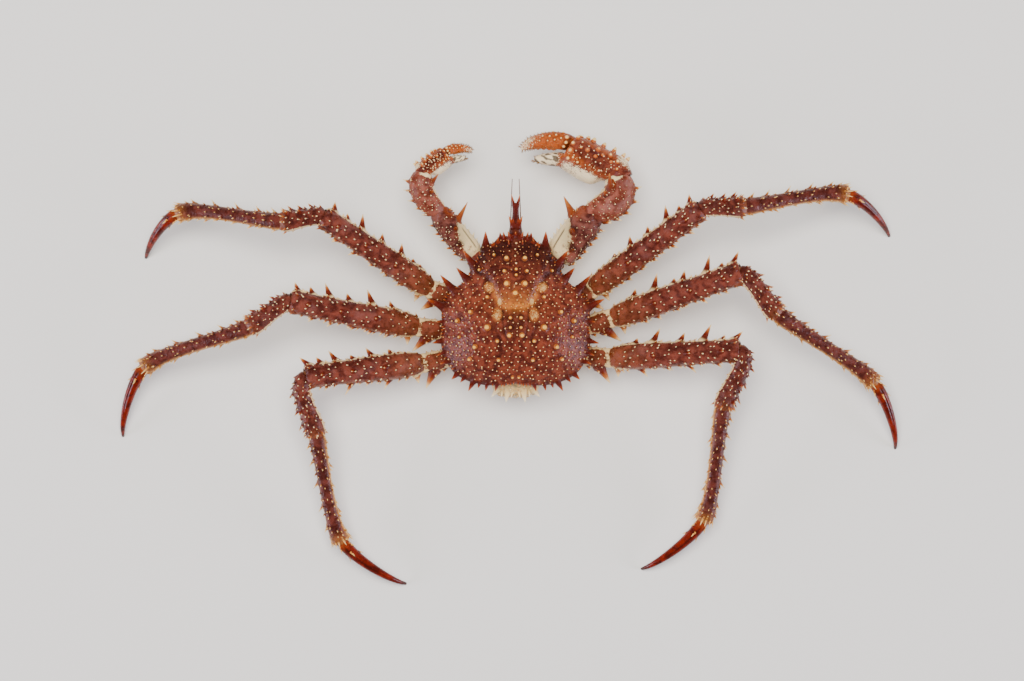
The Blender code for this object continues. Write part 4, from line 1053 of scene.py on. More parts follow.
# A plate's middle line with its half width, from one joint to the next.
class Plate:

    def __init__(self, start, end, leave, arrive, side, settings, girth=1.0, bow=0.0):
        self.side, self.girth = side, girth
        self.profile, self.flat = settings["profile"], settings["flat"]
        self.bow = upAxis.cross(end - start).normalized() * side * bow
        self.length = (end - start).length
        self.a, self.b = start + leave * gap / 2, end - arrive * gap / 2
        self.ta, self.tb = leave * self.length, arrive * self.length

    def at(self, t):
        line = (t, self.a, self.b, self.ta, self.tb)
        return cubic(*line) + self.bow * 4 * t * (1 - t), cubicWay(*line)

    def axes(self, along):
        front = upAxis.cross(along) * -self.side
        front.normalize()
        up = along.cross(front)
        return front, up if up.z > 0 else -up

    def halfWidth(self, t):
        return float(blendTable(self.profile, t) * self.girth)

    # From the middle line to the skin: the width at the edges, the height elsewhere.
    def skinReach(self, t, degrees):
        atEdge = abs(math.cos(math.radians(degrees))) > 0.5
        return self.halfWidth(t) * (1 if atEdge else self.flat)

    # Sections, closest at the two joints.
    def frames(self, rings=44, cuff=True):
        made = []
        for k in range(rings + 1):
            t = 0.5 - 0.5 * math.cos(math.pi * k / rings)
            place, along = self.at(t)
            half = self.halfWidth(t)
            made.append(ringFrame(place, along, half, half * self.flat, self.axes(along)[0]))
        neck = [shifted(made[0], *row) for row in limb["neck"]]
        return neck + made[1:] + [shifted(made[-1], *row) for row in limb["cuff"] if cuff]

    def skinPoint(self, t, degrees):
        place, along = self.at(t)
        front, up = self.axes(along)
        half, a = self.halfWidth(t), math.radians(degrees)
        out = front * math.cos(a) + up * math.sin(a) * self.flat
        return place + out * half, out.normalized(), along

    def thorn(self, skin, t, degrees, tall, radius, lean=0.6, tones=(0.02, 1.0), curl=0.08):
        tall = max(tall, 1.2)
        root = min(max(t - lean * tall / self.length, 0.03), 0.97)
        base, out, along = self.skinPoint(root, degrees)
        tip = base + out * tall + along * (t - root) * self.length
        skin.spine(base - out * 0.6, tip, radius, curl, tones)

    def spine(self, skin, t, degrees, reach, *more):
        self.thorn(skin, t, degrees, reach - self.skinReach(t, degrees), *more)

    # For each point: place along the plate, degrees round from the front edge, and how far
    # out it is in half widths.
    def measure(self, co, samples=61, batch=20000):
        ts = np.linspace(0, 1, samples)
        line = [self.at(float(t)) for t in ts]
        centres = np.array([place for place, _ in line])
        nearest = np.empty(len(co), int)
        for begin in range(0, len(co), batch):
            away = ((co[begin:begin + batch, None, :] - centres[None])**2).sum(2)
            nearest[begin:begin + batch] = away.argmin(1)
        fronts = np.array([self.axes(along)[0] for _, along in line])[nearest]
        ups = np.array([self.axes(along)[1] for _, along in line])[nearest]
        halves = np.array([self.halfWidth(t) for t in ts])[nearest]
        offset = co - centres[nearest]
        x, y = (offset * fronts).sum(1), (offset * ups).sum(1) / self.flat
        return ts[nearest], np.degrees(np.arctan2(y, x)), np.hypot(x, y) / halves


def joints(side, start, lengths):
    places, ways = [Vector(start)], []
    for length, heading, pitch in lengths:
        way = bearing(side, heading, pitch)
        places.append(places[-1] + way * length)
        ways.append(way)
    return places, ways


def bend(before, after, share=limb["kneeShare"]):
    return (before * (1 - share) + after * share).normalized()


# Rows of forward-leaning grains along a plate.
def knobRows(skin, plate, rows, spacing, radii, heights, low=0.05, high=0.95, tone=1.0):
    count = int(plate.length * (high - low) / spacing)
    for number, degrees in enumerate(rows):
        for k in range(count):
            t = low + (high - low) * (k + 0.5 * (number % 2) + draws.uniform(0.0, 0.7)) / count
            if t < high and draws.random() < 0.9:
                place, _, along = plate.skinPoint(t, degrees + draws.uniform(-8, 8))
                size = draws.betavariate(1.4, 2.0)
                skin.knob(place, radii[0] + (radii[1] - radii[0]) * size,
                          heights[0] + (heights[1] - heights[0]) * size, tone, along)


# Row of small forward-leaning spines along a plate.
def edgeRow(skin, plate, degrees, spacing, heights, radii, low=0.06, high=0.96, lean=0.8,
            jitter=5, tones=(0.1, 1.0)):
    count = max(int(plate.length * (high - low) / spacing), 1)
    for k in range(count):
        t = low + (high - low) * (k + draws.uniform(0.2, 0.8)) / count
        angle = degrees + draws.uniform(-jitter, jitter)
        plate.thorn(skin, t, angle, pick(heights), pick(radii), lean, tones)


# Ring of long slender spines round the far end of a plate, lying nearly along it.
def endRing(skin, plate, angles, heights, radius, tones, lean):
    for degrees in angles:
        degrees += draws.uniform(-5, 5)
        t = 1.0 + draws.uniform(-0.2, 1.0) / plate.length
        reach = plate.skinReach(0.97, degrees) + pick(heights)
        plate.spine(skin, t, degrees, reach, radius, lean, tones)


# Tree of a skin's solids as they are before they are fused, to set knobs on.
def surfaceOf(skin):
    bm = bmesh.new()
    for mesh in skin.solids:
        bm.from_mesh(mesh)
    tree = BVHTree.FromBMesh(bm)
    bm.free()
    return tree


# Swollen corners at the far end of a plate, where it holds the next one.
def jointLobes(skin, plate, lobes, girth=1.0, t=0.965):
    for degrees, size, long in lobes:
        size *= girth
        place, out, along = plate.skinPoint(t, degrees)
        frame = ringFrame(place - out * size * 0.45, along, size, size * 0.8, out.cross(along))
        skin.add(ball(frame @ Matrix.Diagonal((1, 1, size * long, 1))))


membranes = []      # ends of neighbouring plates, filled in with soft skin


def joinPlates(before, plate, share, flat):
    place, along = plate.at(0)
    wide = min(plate.halfWidth(0), before.halfWidth(1)) * share
    membranes.append((place, along, wide, flat, plate.axes(along)[0]))


def newPlate(name, plate, settings, **how):
    skin = Skin(name)
    skin.add(loft(plate.frames(**how), *settings["section"]))
    return skin


# Adds what a plate's settings name and fuses it.
def dress(skin, plate, settings):
    for row in settings.get("spines", ()):
        plate.spine(skin, *row)
    for row in settings.get("thorns", ()):
        plate.thorn(skin, *row)
    for row in settings.get("edges", ()):
        edgeRow(skin, plate, *row)
    jointLobes(skin, plate, settings.get("lobes", ()))
    if "ring" in settings:
        endRing(skin, plate, *settings["ring"])
    for row in settings.get("grains", ()):
        knobRows(skin, plate, *row)
    skin.merge(settings["voxel"], settings.get("smoothing", 2))


def makeLeg(name):
    side = 1 if name.endswith("L") else -1
    pair = name[:4]
    start, coxa, *lengths, (reach, heading) = legs[name]
    places, ways = joints(side, start, lengths)
    footWay = bearing(side, heading, -math.degrees(math.asin(places[3].z / reach)))
    places.append(places[3] + footWay * reach)
    hip = Vector((side * coxa[0], coxa[1], limb["hipHeight"]))
    rootWay = Vector((side, (start[1] - coxa[1]) / 60, 0.02)).normalized()
    leave = [bend(rootWay, ways[0], 0.7), bend(ways[0], ways[1]), bend(ways[1], ways[2], 0.5),
             bend(ways[2], bearing(side, heading + 10, -12), 0.6)]

    base = Plate(hip, places[0], rootWay, leave[0], side, plates["base"])
    upper = Plate(places[0], places[1], leave[0], leave[1], side, plates["merus"],
                  limb["girth"][pair])
    upper.ta, upper.tb = ways[0] * lengths[0][0], ways[0] * lengths[0][0]
    knee = Plate(places[1], places[2], leave[1], leave[2], side, plates["carpus"])
    knee.ta *= limb["kneePull"][pair]
    lower = Plate(places[2], places[3], leave[2], leave[3], side, plates["propodus"])
    lower.ta, lower.tb = lower.ta * limb["shinPull"], lower.tb * limb["shinPull"]
    toe = Plate(places[3], places[4], leave[3], bearing(side, heading - 20, -58), side,
                plates["dactyl"])
    toe.ta, toe.tb = toe.ta * limb["toePull"], toe.tb * limb["toePull"]
    toe.b = places[4]       # the point stands on the floor

    for before, plate in ((base, upper), (upper, knee), (knee, lower), (lower, toe)):
        joinPlates(before, plate, limb["skinShare"], limb["skinFlat"])
    makeLegBase(name, base)
    makeMerus(name, upper)
    makeCarpus(name, knee)
    makePropodus(name, lower)
    makeDactyl(name, toe)


# Pale front edge and underside, warm rear edge, painted shade in the sunken necks and cuffs.
def paintLimb(skin, plate, frontPale, frontWidth, underPale, warmRear):
    t, degrees, out = plate.measure(skin.co)
    under = step(-35, -75, degrees) * step(-178, -135, degrees)
    skin.masks["pale"] += under * underPale
    skin.masks["pale"] += near(degrees, 9, frontWidth * 0.5, frontWidth) * frontPale
    skin.masks["warm"] += near(degrees % 360, 172, 12, 34) * warmRear
    # painted shade where the skin lies inside the plate's outline, at the joints
    skin.masks["shade"] += step(0.93, 0.86, out) * 0.6
    return t, degrees


def makeLegBase(name, plate):
    settings = plates["base"]
    skin = newPlate(name + "BasePlates", plate, settings)
    plate.spine(skin, 1.0, 190, limb["spurReach"][name[:4]], 4.6, 0.7, (0.25, 1.0))
    dress(skin, plate, settings)
    t, degrees = paintLimb(skin, plate, *settings["paint"])
    where, width, deep = settings["seam"]       # the tight joint between the two short segments
    seam = hill(t, where, width)
    skin.co -= skin.normal * (seam * deep)[:, None]
    # painted shade in the pressed-in seam
    skin.masks["shade"] += seam * 0.5
    pale = skin.masks["pale"]
    pale += step(0.50, 0.44, t) * 0.72 + step(0.86, 0.96, t) * 0.48 + hill(t, 0.55, 0.05) * 0.6
    pale += near(abs(degrees), 180, 24, 60) * 0.5 + near(degrees, 0, 20, 50) * 0.4
    pale += step(-15, -40, degrees) * step(-178, -150, degrees) * 0.7
    skin.masks["warm"] += step(0.5, 0.75, t) * 0.15
    skin.finish(legShell, "leg_shell", name + "_base")


def makeMerus(name, plate):
    settings = plates["merus"]
    skin = newPlate(name + "MerusPlate", plate, settings)
    plate.spine(skin, .045, 180, limb["heelReach"], 3.3, -0.15, (0.6, 1.0))
    for t, far in frontSpines[name]:
        plate.spine(skin, t, 0, far, 2.3 + 0.045 * far, 0.62, (0.02, 1.0), 0.1)
        if far > 16:        # a smaller spine at the foot of a long one, on the upper side
            plate.spine(skin, t - 0.02, 30, plate.halfWidth(t) + 3.4, 1.3, 0.8)
    for t, far in rearSpines[name]:
        plate.spine(skin, t, 180, far + 1.2, 2.1, 0.8, (0.25, 1.25))
    dress(skin, plate, settings)
    t, degrees = paintLimb(skin, plate, *settings["paint"])
    heel = near(abs(degrees), 180, 18, 48) * step(0.22, 0.08, t)
    skin.masks["warm"] += step(0.45, 0.02, t) * 0.20
    skin.masks["pale"] += heel * 0.7 + step(0.10, 0.0, t) * 0.3
    skin.masks["shade"] += hill(degrees, 60, 26) * step(0.25, 0.5, t) * 0.22
    skin.finish(legShell, "leg_shell", name + "_merus")


def makeCarpus(name, plate):
    settings = plates["carpus"]
    skin = newPlate(name + "CarpusPlate", plate, settings)
    dress(skin, plate, settings)
    t, degrees = paintLimb(skin, plate, *settings["paint"])
    skin.masks["pale"] += near(degrees % 360, 174, 18, 30) * 0.95
    skin.masks["shade"] += step(10, 40, degrees) * step(150, 120, degrees) * 0.25
    skin.masks["warm"] += step(0.80, 1.0, t) * 0.35
    skin.finish(legShell, "leg_shell", name + "_carpus")


def makePropodus(name, plate):
    settings = plates["propodus"]
    skin = newPlate(name + "PropodusPlate", plate, settings)
    dress(skin, plate, settings)
    t, degrees = paintLimb(skin, plate, *settings["paint"])
    around = degrees % 360
    front = near(degrees, 2, 10, 34)
    top = step(15, 45, degrees) * step(160, 130, degrees) * step(0.95, 0.8, t)
    skin.masks["shade"] += top * 0.18
    # golden along both edges, below and at the far end
    skin.masks["warm"] += front * 0.7 + near(around, 170, 14, 46) * 0.5
    skin.masks["warm"] += step(-30, -70, degrees) * 0.3 + step(0.82, 1.0, t) * 0.5
    skin.masks["pale"] += front * 0.22 + near(around, 172, 10, 34) * 0.50
    skin.finish(shinShell, "leg_shell", name + "_propodus")


def makeDactyl(name, plate):
    settings = plates["dactyl"]
    skin = newPlate(name + "Dactyl", plate, settings, rings=40, cuff=False)
    dress(skin, plate, settings)
    skin.co[:, 2] = np.maximum(skin.co[:, 2], 0.0)
    t, degrees, _ = plate.measure(skin.co)
    groove = sum(hill(degrees, where, width) for where, width in settings["grooves"])
    inward = groove * step(0.03, 0.12, t) * step(0.72, 0.5, t)
    skin.co -= skin.normal * (inward * settings["grooveDepth"])[:, None]
    skin.masks["warm"] += step(0.16, 0.0, t) * 0.6
    # painted shade in the pressed-in grooves along the toe; the dark point is its horny tip
    skin.masks["shade"] += inward * 0.8 + step(0.88, 0.96, t) * 0.9        # dark horny point
    skin.finish(toeShell, "dactyl_shell", name + "_dactyl")


# start of the merus, base x and y, length, heading and pitch of merus and carpus, and the
# pincer's heading, pitch and scale
claws = {
    "claw_R": ((-35.8, -51.8, 34), (28.2, -35), (46.5, 51.5, 15), (38.5, 53, 3),
               (149, -9, 1)),
    "claw_L": ((35.3, -53.4, 34), (28.2, -35), (48, 50.5, 14.5), (35, 66, 6.5),
               (140, -14, 0.55)),
}
claw = {
    "girth": {"claw_R": 1, "claw_L": 0.74}, "bow": {"claw_R": 4.8, "claw_L": 2.5},
    "rootWay": (0.75, -0.65, 0.05), "skinShare": 0.93, "skinFlat": 0.85,
    # share of each bend that is taken before the joint
    "shoulder": 0.6, "elbow": 0.5, "wrist": 0.5,
}
# The arms' plates, as in the table of the legs' plates; lobes, teeth and spines grow with girth.
clawPlates = {
    "base": {
        "profile": plates["base"]["profile"], "section": (26, 2.2), "flat": 0.95, "voxel": 0.66,
        "grains": ((35, 65, 95, 125), 4.4, (0.5, 0.9), (0.6, 1), 0.4, 0.97),
        "edge": (160, 6, (1, 2), (0.9, 1.2), 0.5, 0.95, 0.5, 5, (0.4, 1)),
        "paint": (0.5, 60, 0.8, 0),
    },
    "merus": {
        "profile": ((0, 10), (.1, 13), (.35, 14.3), (.62, 14.2), (.88, 13.8), (1, 11)),
        "section": (32, 2.3), "flat": 0.8, "voxel": 0.6,
        # place, reach and lean of the horn
        "horn": {"claw_R": (1, 25.2, 0.55), "claw_L": (0.86, 25.3, 0.5)}, "hornRadius": 3.6,
        "lobes": ((28, 5.2, 1.2), (95, 4, 1.2), (150, 4.4, 1.2)),
        # jagged cream inner edge, then the outer edge: places along, degrees, heights, radius, lean
        "teeth": ((.1, .2, .31, .43, .55, .66), (-2, 8), (1.6, 3.4), 1.7, 0.7, (0.96, 1)),
        "rear": ((.14, .3, .46, .62, .78, .94), (168, 184), (3.4, 5), 1.8, 0.8, (0.2, 1.25)),
        "edges": ((176, 4.8, (1.2, 2.6), (0.9, 1.2), 0.08, 0.97, 0.8, 14, (0.3, 1.3)),),
        # place, degrees, height and radius of the upright spines on the top
        "upright": ((.66, 72, 4.6, 1.9), (.38, 112, 3, 1.3), (.14, 116, 2.6, 1.2)),
        "grains": (((78, 98, 118, 138, 156), 6.2, (0.5, 0.95), (0.6, 1.2)),
                   ((-5, 12, 30, 48), 3.4, (0.45, 0.85), (0.6, 1.2), 0.78, 0.98),
                   ((88, 108, 128, 148), 3.6, (0.28, 0.4), (0.3, 0.4), 0.1, 0.95, 1.4),
                   ((-40, -80, -120, -160), 8, (0.5, 0.8), (0.5, 0.8), 0.08, 0.92, 0.8)),
        "paint": (0, 30, 0.75, 0),
        # pressed-in line darkened with painted shade: degrees, turn along the plate, width, depth
        "scar": {"degrees": 56, "turn": 24, "width": 3.6, "deep": 0.8},
        # places along and degrees round of painted shade at the feet of the upright spines
        "shadedSpineFeet": ((.66, 72), (.38, 104)),
    },
    "carpus": {
        "profile": ((0, 9.8), (.16, 11.8), (.42, 13.3), (.7, 13.8), (.9, 13.4), (1, 11.4)),
        "section": (32, 2.2), "flat": 0.84, "voxel": 0.6,
        # place, degrees and reach of the horn
        "horn": {"claw_R": (0.92, 50, 25), "claw_L": (0.92, 15, 17)}, "hornRadius": 3.3,
        "lobes": ((60, 4.2, 1.2), (120, 4.2, 1.2)),
        "rear": ((.2, .4, .6, .8, .95), (166, 182), (3.6, 5.4), 2.1, 0.6, (0.25, 1.3)),
        "edges": ((166, 4.6, (1.4, 3), (1, 1.4), 0.05, 0.97, 0.8, 16, (0.3, 1.3)),
                  (4, 5, (0.8, 1.8), (0.9, 1.2), 0.1, 0.72, 0.4, 8, (0.96, 1))),
        "topSpine": (.52, 48, 4.6, 2.5),
        "grains": (((40, 62, 84, 106, 128, 146), 5.4, (0.5, 1), (0.6, 1.3)),
                   ((32, 50, 72, 94, 116, 136), 3, (0.28, 0.42), (0.3, 0.4), 0.1, 0.95, 1.4),
                   ((-40, -80, -120, -160), 7.5, (0.5, 0.8), (0.5, 0.8), 0.08, 0.92, 0.8)),
        "paint": (0, 30, 0.75, 0),
    },
}


def makeClaw(name):
    side = 1 if name.endswith("L") else -1
    start, coxa, *lengths, (palmHeading, palmPitch, scale) = claws[name]
    girth = claw["girth"][name]
    places, ways = joints(side, start, lengths)
    palmWay = bearing(side, palmHeading, palmPitch)
    hip = Vector((side * coxa[0], coxa[1], limb["hipHeight"]))
    rootWay = mirrored(claw["rootWay"], side).normalized()
    shoulder = bend(rootWay, ways[0], claw["shoulder"])
    elbow = bend(ways[0], ways[1], claw["elbow"])
    wrist = bend(ways[1], palmWay, claw["wrist"])
    base = Plate(hip, places[0], rootWay, shoulder, side, clawPlates["base"])
    upper = Plate(places[0], places[1], shoulder, elbow, side, clawPlates["merus"], girth)
    knee = Plate(places[1], places[2], elbow, wrist, side, clawPlates["carpus"], girth,
                 claw["bow"][name])
    for before, plate in ((base, upper), (upper, knee)):
        joinPlates(before, plate, claw["skinShare"], claw["skinFlat"])
    makeClawBase(name, base)
    makeClawMerus(name, upper, girth)
    makeClawCarpus(name, knee, girth)
    hand = Hand(name, places[2], wrist, palmWay, side, scale)
    makePalm(hand)
    makeFinger(hand)


# Spines at set places, each turned and as tall as the dice say.
def raggedRow(skin, plate, places, degrees, heights, radius, lean, tones, girth):
    for t in places:
        plate.thorn(skin, t, pick(degrees), pick(heights), radius * girth,
                    lean, tones)


def makeClawBase(name, plate):
    settings = clawPlates["base"]
    skin = newPlate(name + "BasePlates", plate, settings)
    knobRows(skin, plate, *settings["grains"])
    edgeRow(skin, plate, *settings["edge"])
    skin.merge(settings["voxel"])
    paintLimb(skin, plate, *settings["paint"])
    skin.finish(legShell, "leg_shell", name + "_base")


def makeClawMerus(name, plate, girth):
    settings = clawPlates["merus"]
    skin = newPlate(name + "MerusPlate", plate, settings)
    t, far, lean = settings["horn"][name]
    plate.spine(skin, t, 8, far, settings["hornRadius"] * girth, lean, (0.36, 0.78))
    jointLobes(skin, plate, settings["lobes"], girth)
    plate.thorn(skin, 1.0, 32, 4.6, 1.5 * girth, 0.6, (0.5, 1.0))
    raggedRow(skin, plate, *settings["teeth"], girth)
    raggedRow(skin, plate, *settings["rear"], girth)
    for row in settings["edges"]:
        edgeRow(skin, plate, *row)
    for t, degrees, tall, radius in settings["upright"]:
        plate.thorn(skin, t, degrees, tall * girth, radius * girth, 0.6, (0.1, 0.60))
    for row in settings["grains"]:
        knobRows(skin, plate, *row)
    skin.merge(settings["voxel"])

    t, degrees = paintLimb(skin, plate, *settings["paint"])
    pale, warm, shade = skin.masks["pale"], skin.masks["warm"], skin.masks["shade"]
    turned = degrees + 26 * t + 90 * t * t      # the cream of the inner edge narrows outwards
    pale += step(150, 84, turned) * step(-75, -50, degrees) * step(0.90, 0.60, t) * 0.95
    pale += step(0.20, 0.06, t) * step(110, 150, degrees) * 0.45
    warm += hill(turned, 122, 16) * step(0.80, 0.60, t) * 0.35
    warm += near(degrees, 26, 15, 60) * step(0.74, 0.90, t) * 0.65
    shade += step(60, 110, turned) * step(0.15, 0.45, t) * 0.38
    scar = settings["scar"]
    line = (hill(degrees, scar["degrees"] - scar["turn"] * t, scar["width"])
            * step(0.06, 0.14, t) * step(0.60, 0.48, t))
    # painted shade along the pressed-in line
    shade += line
    skin.co -= skin.normal * (line * scar["deep"])[:, None]
    # painted shade round the feet of the upright spines
    for place in settings["shadedSpineFeet"]:
        shade += 0.6 * spot(t, degrees, place, 4.0 / plate.length, 18, 2)
    skin.finish(armShell, "leg_shell", name + "_merus")


def makeClawCarpus(name, plate, girth):
    settings = clawPlates["carpus"]
    skin = newPlate(name + "CarpusPlate", plate, settings)
    t, degrees, far = settings["horn"][name]
    plate.spine(skin, t, degrees, far, settings["hornRadius"] * girth, 0.8, (0.10, 0.72))
    raggedRow(skin, plate, *settings["rear"], girth)
    for row in settings["edges"]:
        edgeRow(skin, plate, *row)
    jointLobes(skin, plate, settings["lobes"], girth)
    t, degrees, tall, radius = settings["topSpine"]
    reach = plate.halfWidth(.5) + tall * girth
    plate.spine(skin, t, degrees, reach, radius * girth, 0.4, (0.02, 0.8))
    for row in settings["grains"]:
        knobRows(skin, plate, *row)
    skin.merge(settings["voxel"])

    t, degrees = paintLimb(skin, plate, *settings["paint"])
    pale, warm, shade = skin.masks["pale"], skin.masks["warm"], skin.masks["shade"]
    pale += near(degrees, -2, 14, 44) * step(0.90, 0.6, t) * 0.85
    pale += step(0.95, 1.0, t) * step(130, 70, degrees) * 0.7 + near(degrees, 92, 15, 65) * 0.17
    warm += near(degrees, 12, 16, 46) * 0.4 + step(120, 160, degrees) * 0.4 + 0.15
    # painted shade round the foot of the top spine
    shade += 0.7 * spot(t, degrees, (.5, 48), 4.5 / plate.length, 20, 2)
    skin.finish(armShell, "leg_shell", name + "_carpus")


# Roots of bristle tufts: place, way, length, and where it lies on its part's own unwrap (the
# number of the part, share along it, share of the way round).
bristleRoots = []
mapParts = {"finger": 0, "palm": 2, "maxilliped": 4, "mouth": 6}       # the next is for the other side


def addTuft(place, way, length, part, along, around):
    bristleRoots.append((place, way.normalized(), length, (part, along, around)))


# Shape of the pincer; the small one is the same, scaled, with knobs that shrink less.
pincer = {
    # outward shift, half width and half height of the wrist
    "wrist": {"claw_R": (1, 12.4, 9.6), "claw_L": (0.5, 6.6, 5.2)},
    # along, towards the inner side, turn, half width, half height
    "palm": ((6, -2.6, -30, 14.8, 10.8), (13, -1.6, -12, 16.4, 11.8), (21, -0.1, 0, 16.9, 12.6),
             (31, 0.4, 0, 17.2, 13), (42, 0.9, 0, 16.4, 12.4), (48, 1.6, 0, 15.1, 11.4)),
    "palmRings": 22, "palmEnd": ((0.9, 0.9), (1.5, 0.72), (1.8, 0.45)),
    # along, inner side, half width, half height
    "fixedFinger": ((38, 8, 6, 7), (46, 9.2, 6.4, 7.4), (52, 11, 6.2, 7.4),
                    (58, 14.4, 5.7, 6.6), (62, 16.6, 5.1, 5.8), (65.5, 18.6, 4.3, 4.7),
                    (69, 20.7, 2.8, 3), (70.6, 21.6, 1.6, 1.8)),
    # movable finger: path along and across the palm, share along and half width
    "fingerPath": ((50.2, -5.9), (59, -3.2), (69, 2.1), (79.5, 10.8), (84.8, 20)),
    "finger": ((0, 6.5), (.08, 7.3), (.28, 7.6), (.5, 7), (.7, 5.8), (.88, 3.8), (1, 1.3)),
    "fingerFlat": 0.88, "fingerRings": 32, "fingerRoot": ((-3, 0.5), (-2.4, 0.78), (-1.2, 0.93)),
    "palmVoxel": {"claw_R": 0.6, "claw_L": 0.45}, "fingerVoxel": {"claw_R": 0.6, "claw_L": 0.42},
    # along, towards the inner side, radius, height, tone
    "bosses": ((46.3, -12, 2.2, 1.9, 1), (46.8, -6, 1.9, 1.6, 1),
               (45.5, 0.6, 2.6, 1.4, 0.75), (44, 6.8, 1.9, 1.5, 0.95),
               (38.8, -6.4, 1.4, 1.5, 0.9), (33, -7.5, 2.1, 1.6, 0.58),
               (31, -1.5, 1.3, 1.3, 0.8), (26, -12, 2.2, 2.4, 0.66),
               (24.5, -5.6, 1.8, 1.4, 0.52), (20, -9.8, 1.5, 1.3, 0.58),
               (14.5, -12.6, 1.9, 2.4, 0.85), (11, -8.6, 1.6, 1.4, 0.55),
               (6.5, -11.4, 1.9, 2.4, 1), (3.6, -5.6, 1.5, 1.6, 0.7), (35, 5.8, 1.4, 1.3, 1),
               (40.5, 4.4, 1.3, 1.3, 1), (15.5, 2.6, 1.3, 1.2, 1)),
    "bossShare": 0.9, "smallClawTone": 0.9,
    # along, height out from the edge, radius
    "edge": ((1.5, 3.6, 1.8), (6, 3.8, 1.8), (15, 3.6, 1.9), (25, 3.2, 2), (34, 3, 2.1),
             (39.5, 2.4, 2), (46, 1.6, 2.6)), "edgeTone": 2,
    # rows of small knobs: how far across each row stands, and how its knobs are set
    "smallRows": {"claw_R": (-9, -3, 3), "claw_L": (-14, -9, -4, 1, 6)},
    "smallSet": {"count": 8, "start": 4, "spacing": 5.1, "shift": 2.5, "radius": (0.55, 0.95),
                 "height": (0.6, 1.1), "tone": 0.95},
    # fine grains, thinning out towards the white part
    "grains": {"claw_R": 46, "claw_L": 24},
    "grainSet": {"along": (2, 47), "across": (-10, 9, 4.5), "radius": (0.3, 0.48), "height": 0.35},
    # teeth of the fixed finger: along, across, size; of the movable one: share along, size
    "fixedTeeth": ((53.5, 6.9, 2.6), (57.2, 8.9, 2.5), (60.8, 11.2, 2.2), (64, 13.6, 1.9),
                   (66.8, 15.9, 1.5), (69, 18.2, 1.1)),
    "movableTeeth": ((.38, 2), (.47, 2.1), (.57, 1.9), (.66, 1.7), (.74, 1.4), (.81, 1.1)),
    # bosses of the movable finger: share along, degrees up from the inner side, radius, height
    "fingerBosses": ((.13, 118, 1.9, 1.3), (.12, 82, 1.6, 1.2), (.15, 56, 1.5, 1.2),
                     (.25, 104, 1, 0.8), (.34, 122, 1.1, 0.9), (.37, 92, 0.9, 0.8),
                     (.46, 112, 1, 0.8), (.5, 86, 0.8, 0.7), (.57, 120, 0.9, 0.7),
                     (.62, 92, 0.8, 0.6), (.69, 112, 0.8, 0.6), (.8, 104, 0.7, 0.5),
                     (.22, 150, 1.2, 1), (.4, 154, 1.1, 0.9), (.56, 152, 0.9, 0.8)),
    # bristle tufts: shares along the movable finger, degrees round it, lengths
    "fingerTufts": {"count": 14, "from": 0.3, "to": 0.98, "turns": (0, 180, 25, 155),
                    "jitter": 14, "length": (1.8, 3.2)},
    "palmTufts": {"lifts": (-1, 1.8), "length": (1.6, 2.8)},
}


# Axes of a pincer: along its palm, towards the inner side, and up.
class Hand:

    def __init__(self, name, wristPlace, wrist, palmWay, side, scale):
        self.name, self.wrist, self.way, self.scale = name, wrist, palmWay, scale
        level = Vector((palmWay.x, palmWay.y, 0)).normalized()
        self.inner = upAxis.cross(level) * -side
        up = self.inner.cross(palmWay) * side
        self.up = up if up.z >= 0 else -up
        self.origin = wristPlace + wrist * gap
        self.knobScale = math.sqrt(scale)
        self.isSmall = scale < 1

    def at(self, along, across, lift=0.0):
        return self.origin + (self.way * along + self.inner * across + self.up * lift) * self.scale

    def measure(self, co):
        offset = (co - np.array(self.origin)) / self.scale
        return [offset @ np.array(axis) for axis in (self.way, self.inner, self.up)]

    # Place, way and half width along the movable finger, and its level side towards the other.
    def fingerAt(self, t):
        points = [self.at(*p) + self.way * gap for p in pincer["fingerPath"]]
        place, way = curveThrough(points, t)
        if t == 0:
            way = self.way
        nearSide = upAxis.cross(way).normalized()
        if nearSide.dot(self.inner) < 0:
            nearSide = -nearSide
        return place, way, blendTable(pincer["finger"], t) * self.scale, nearSide


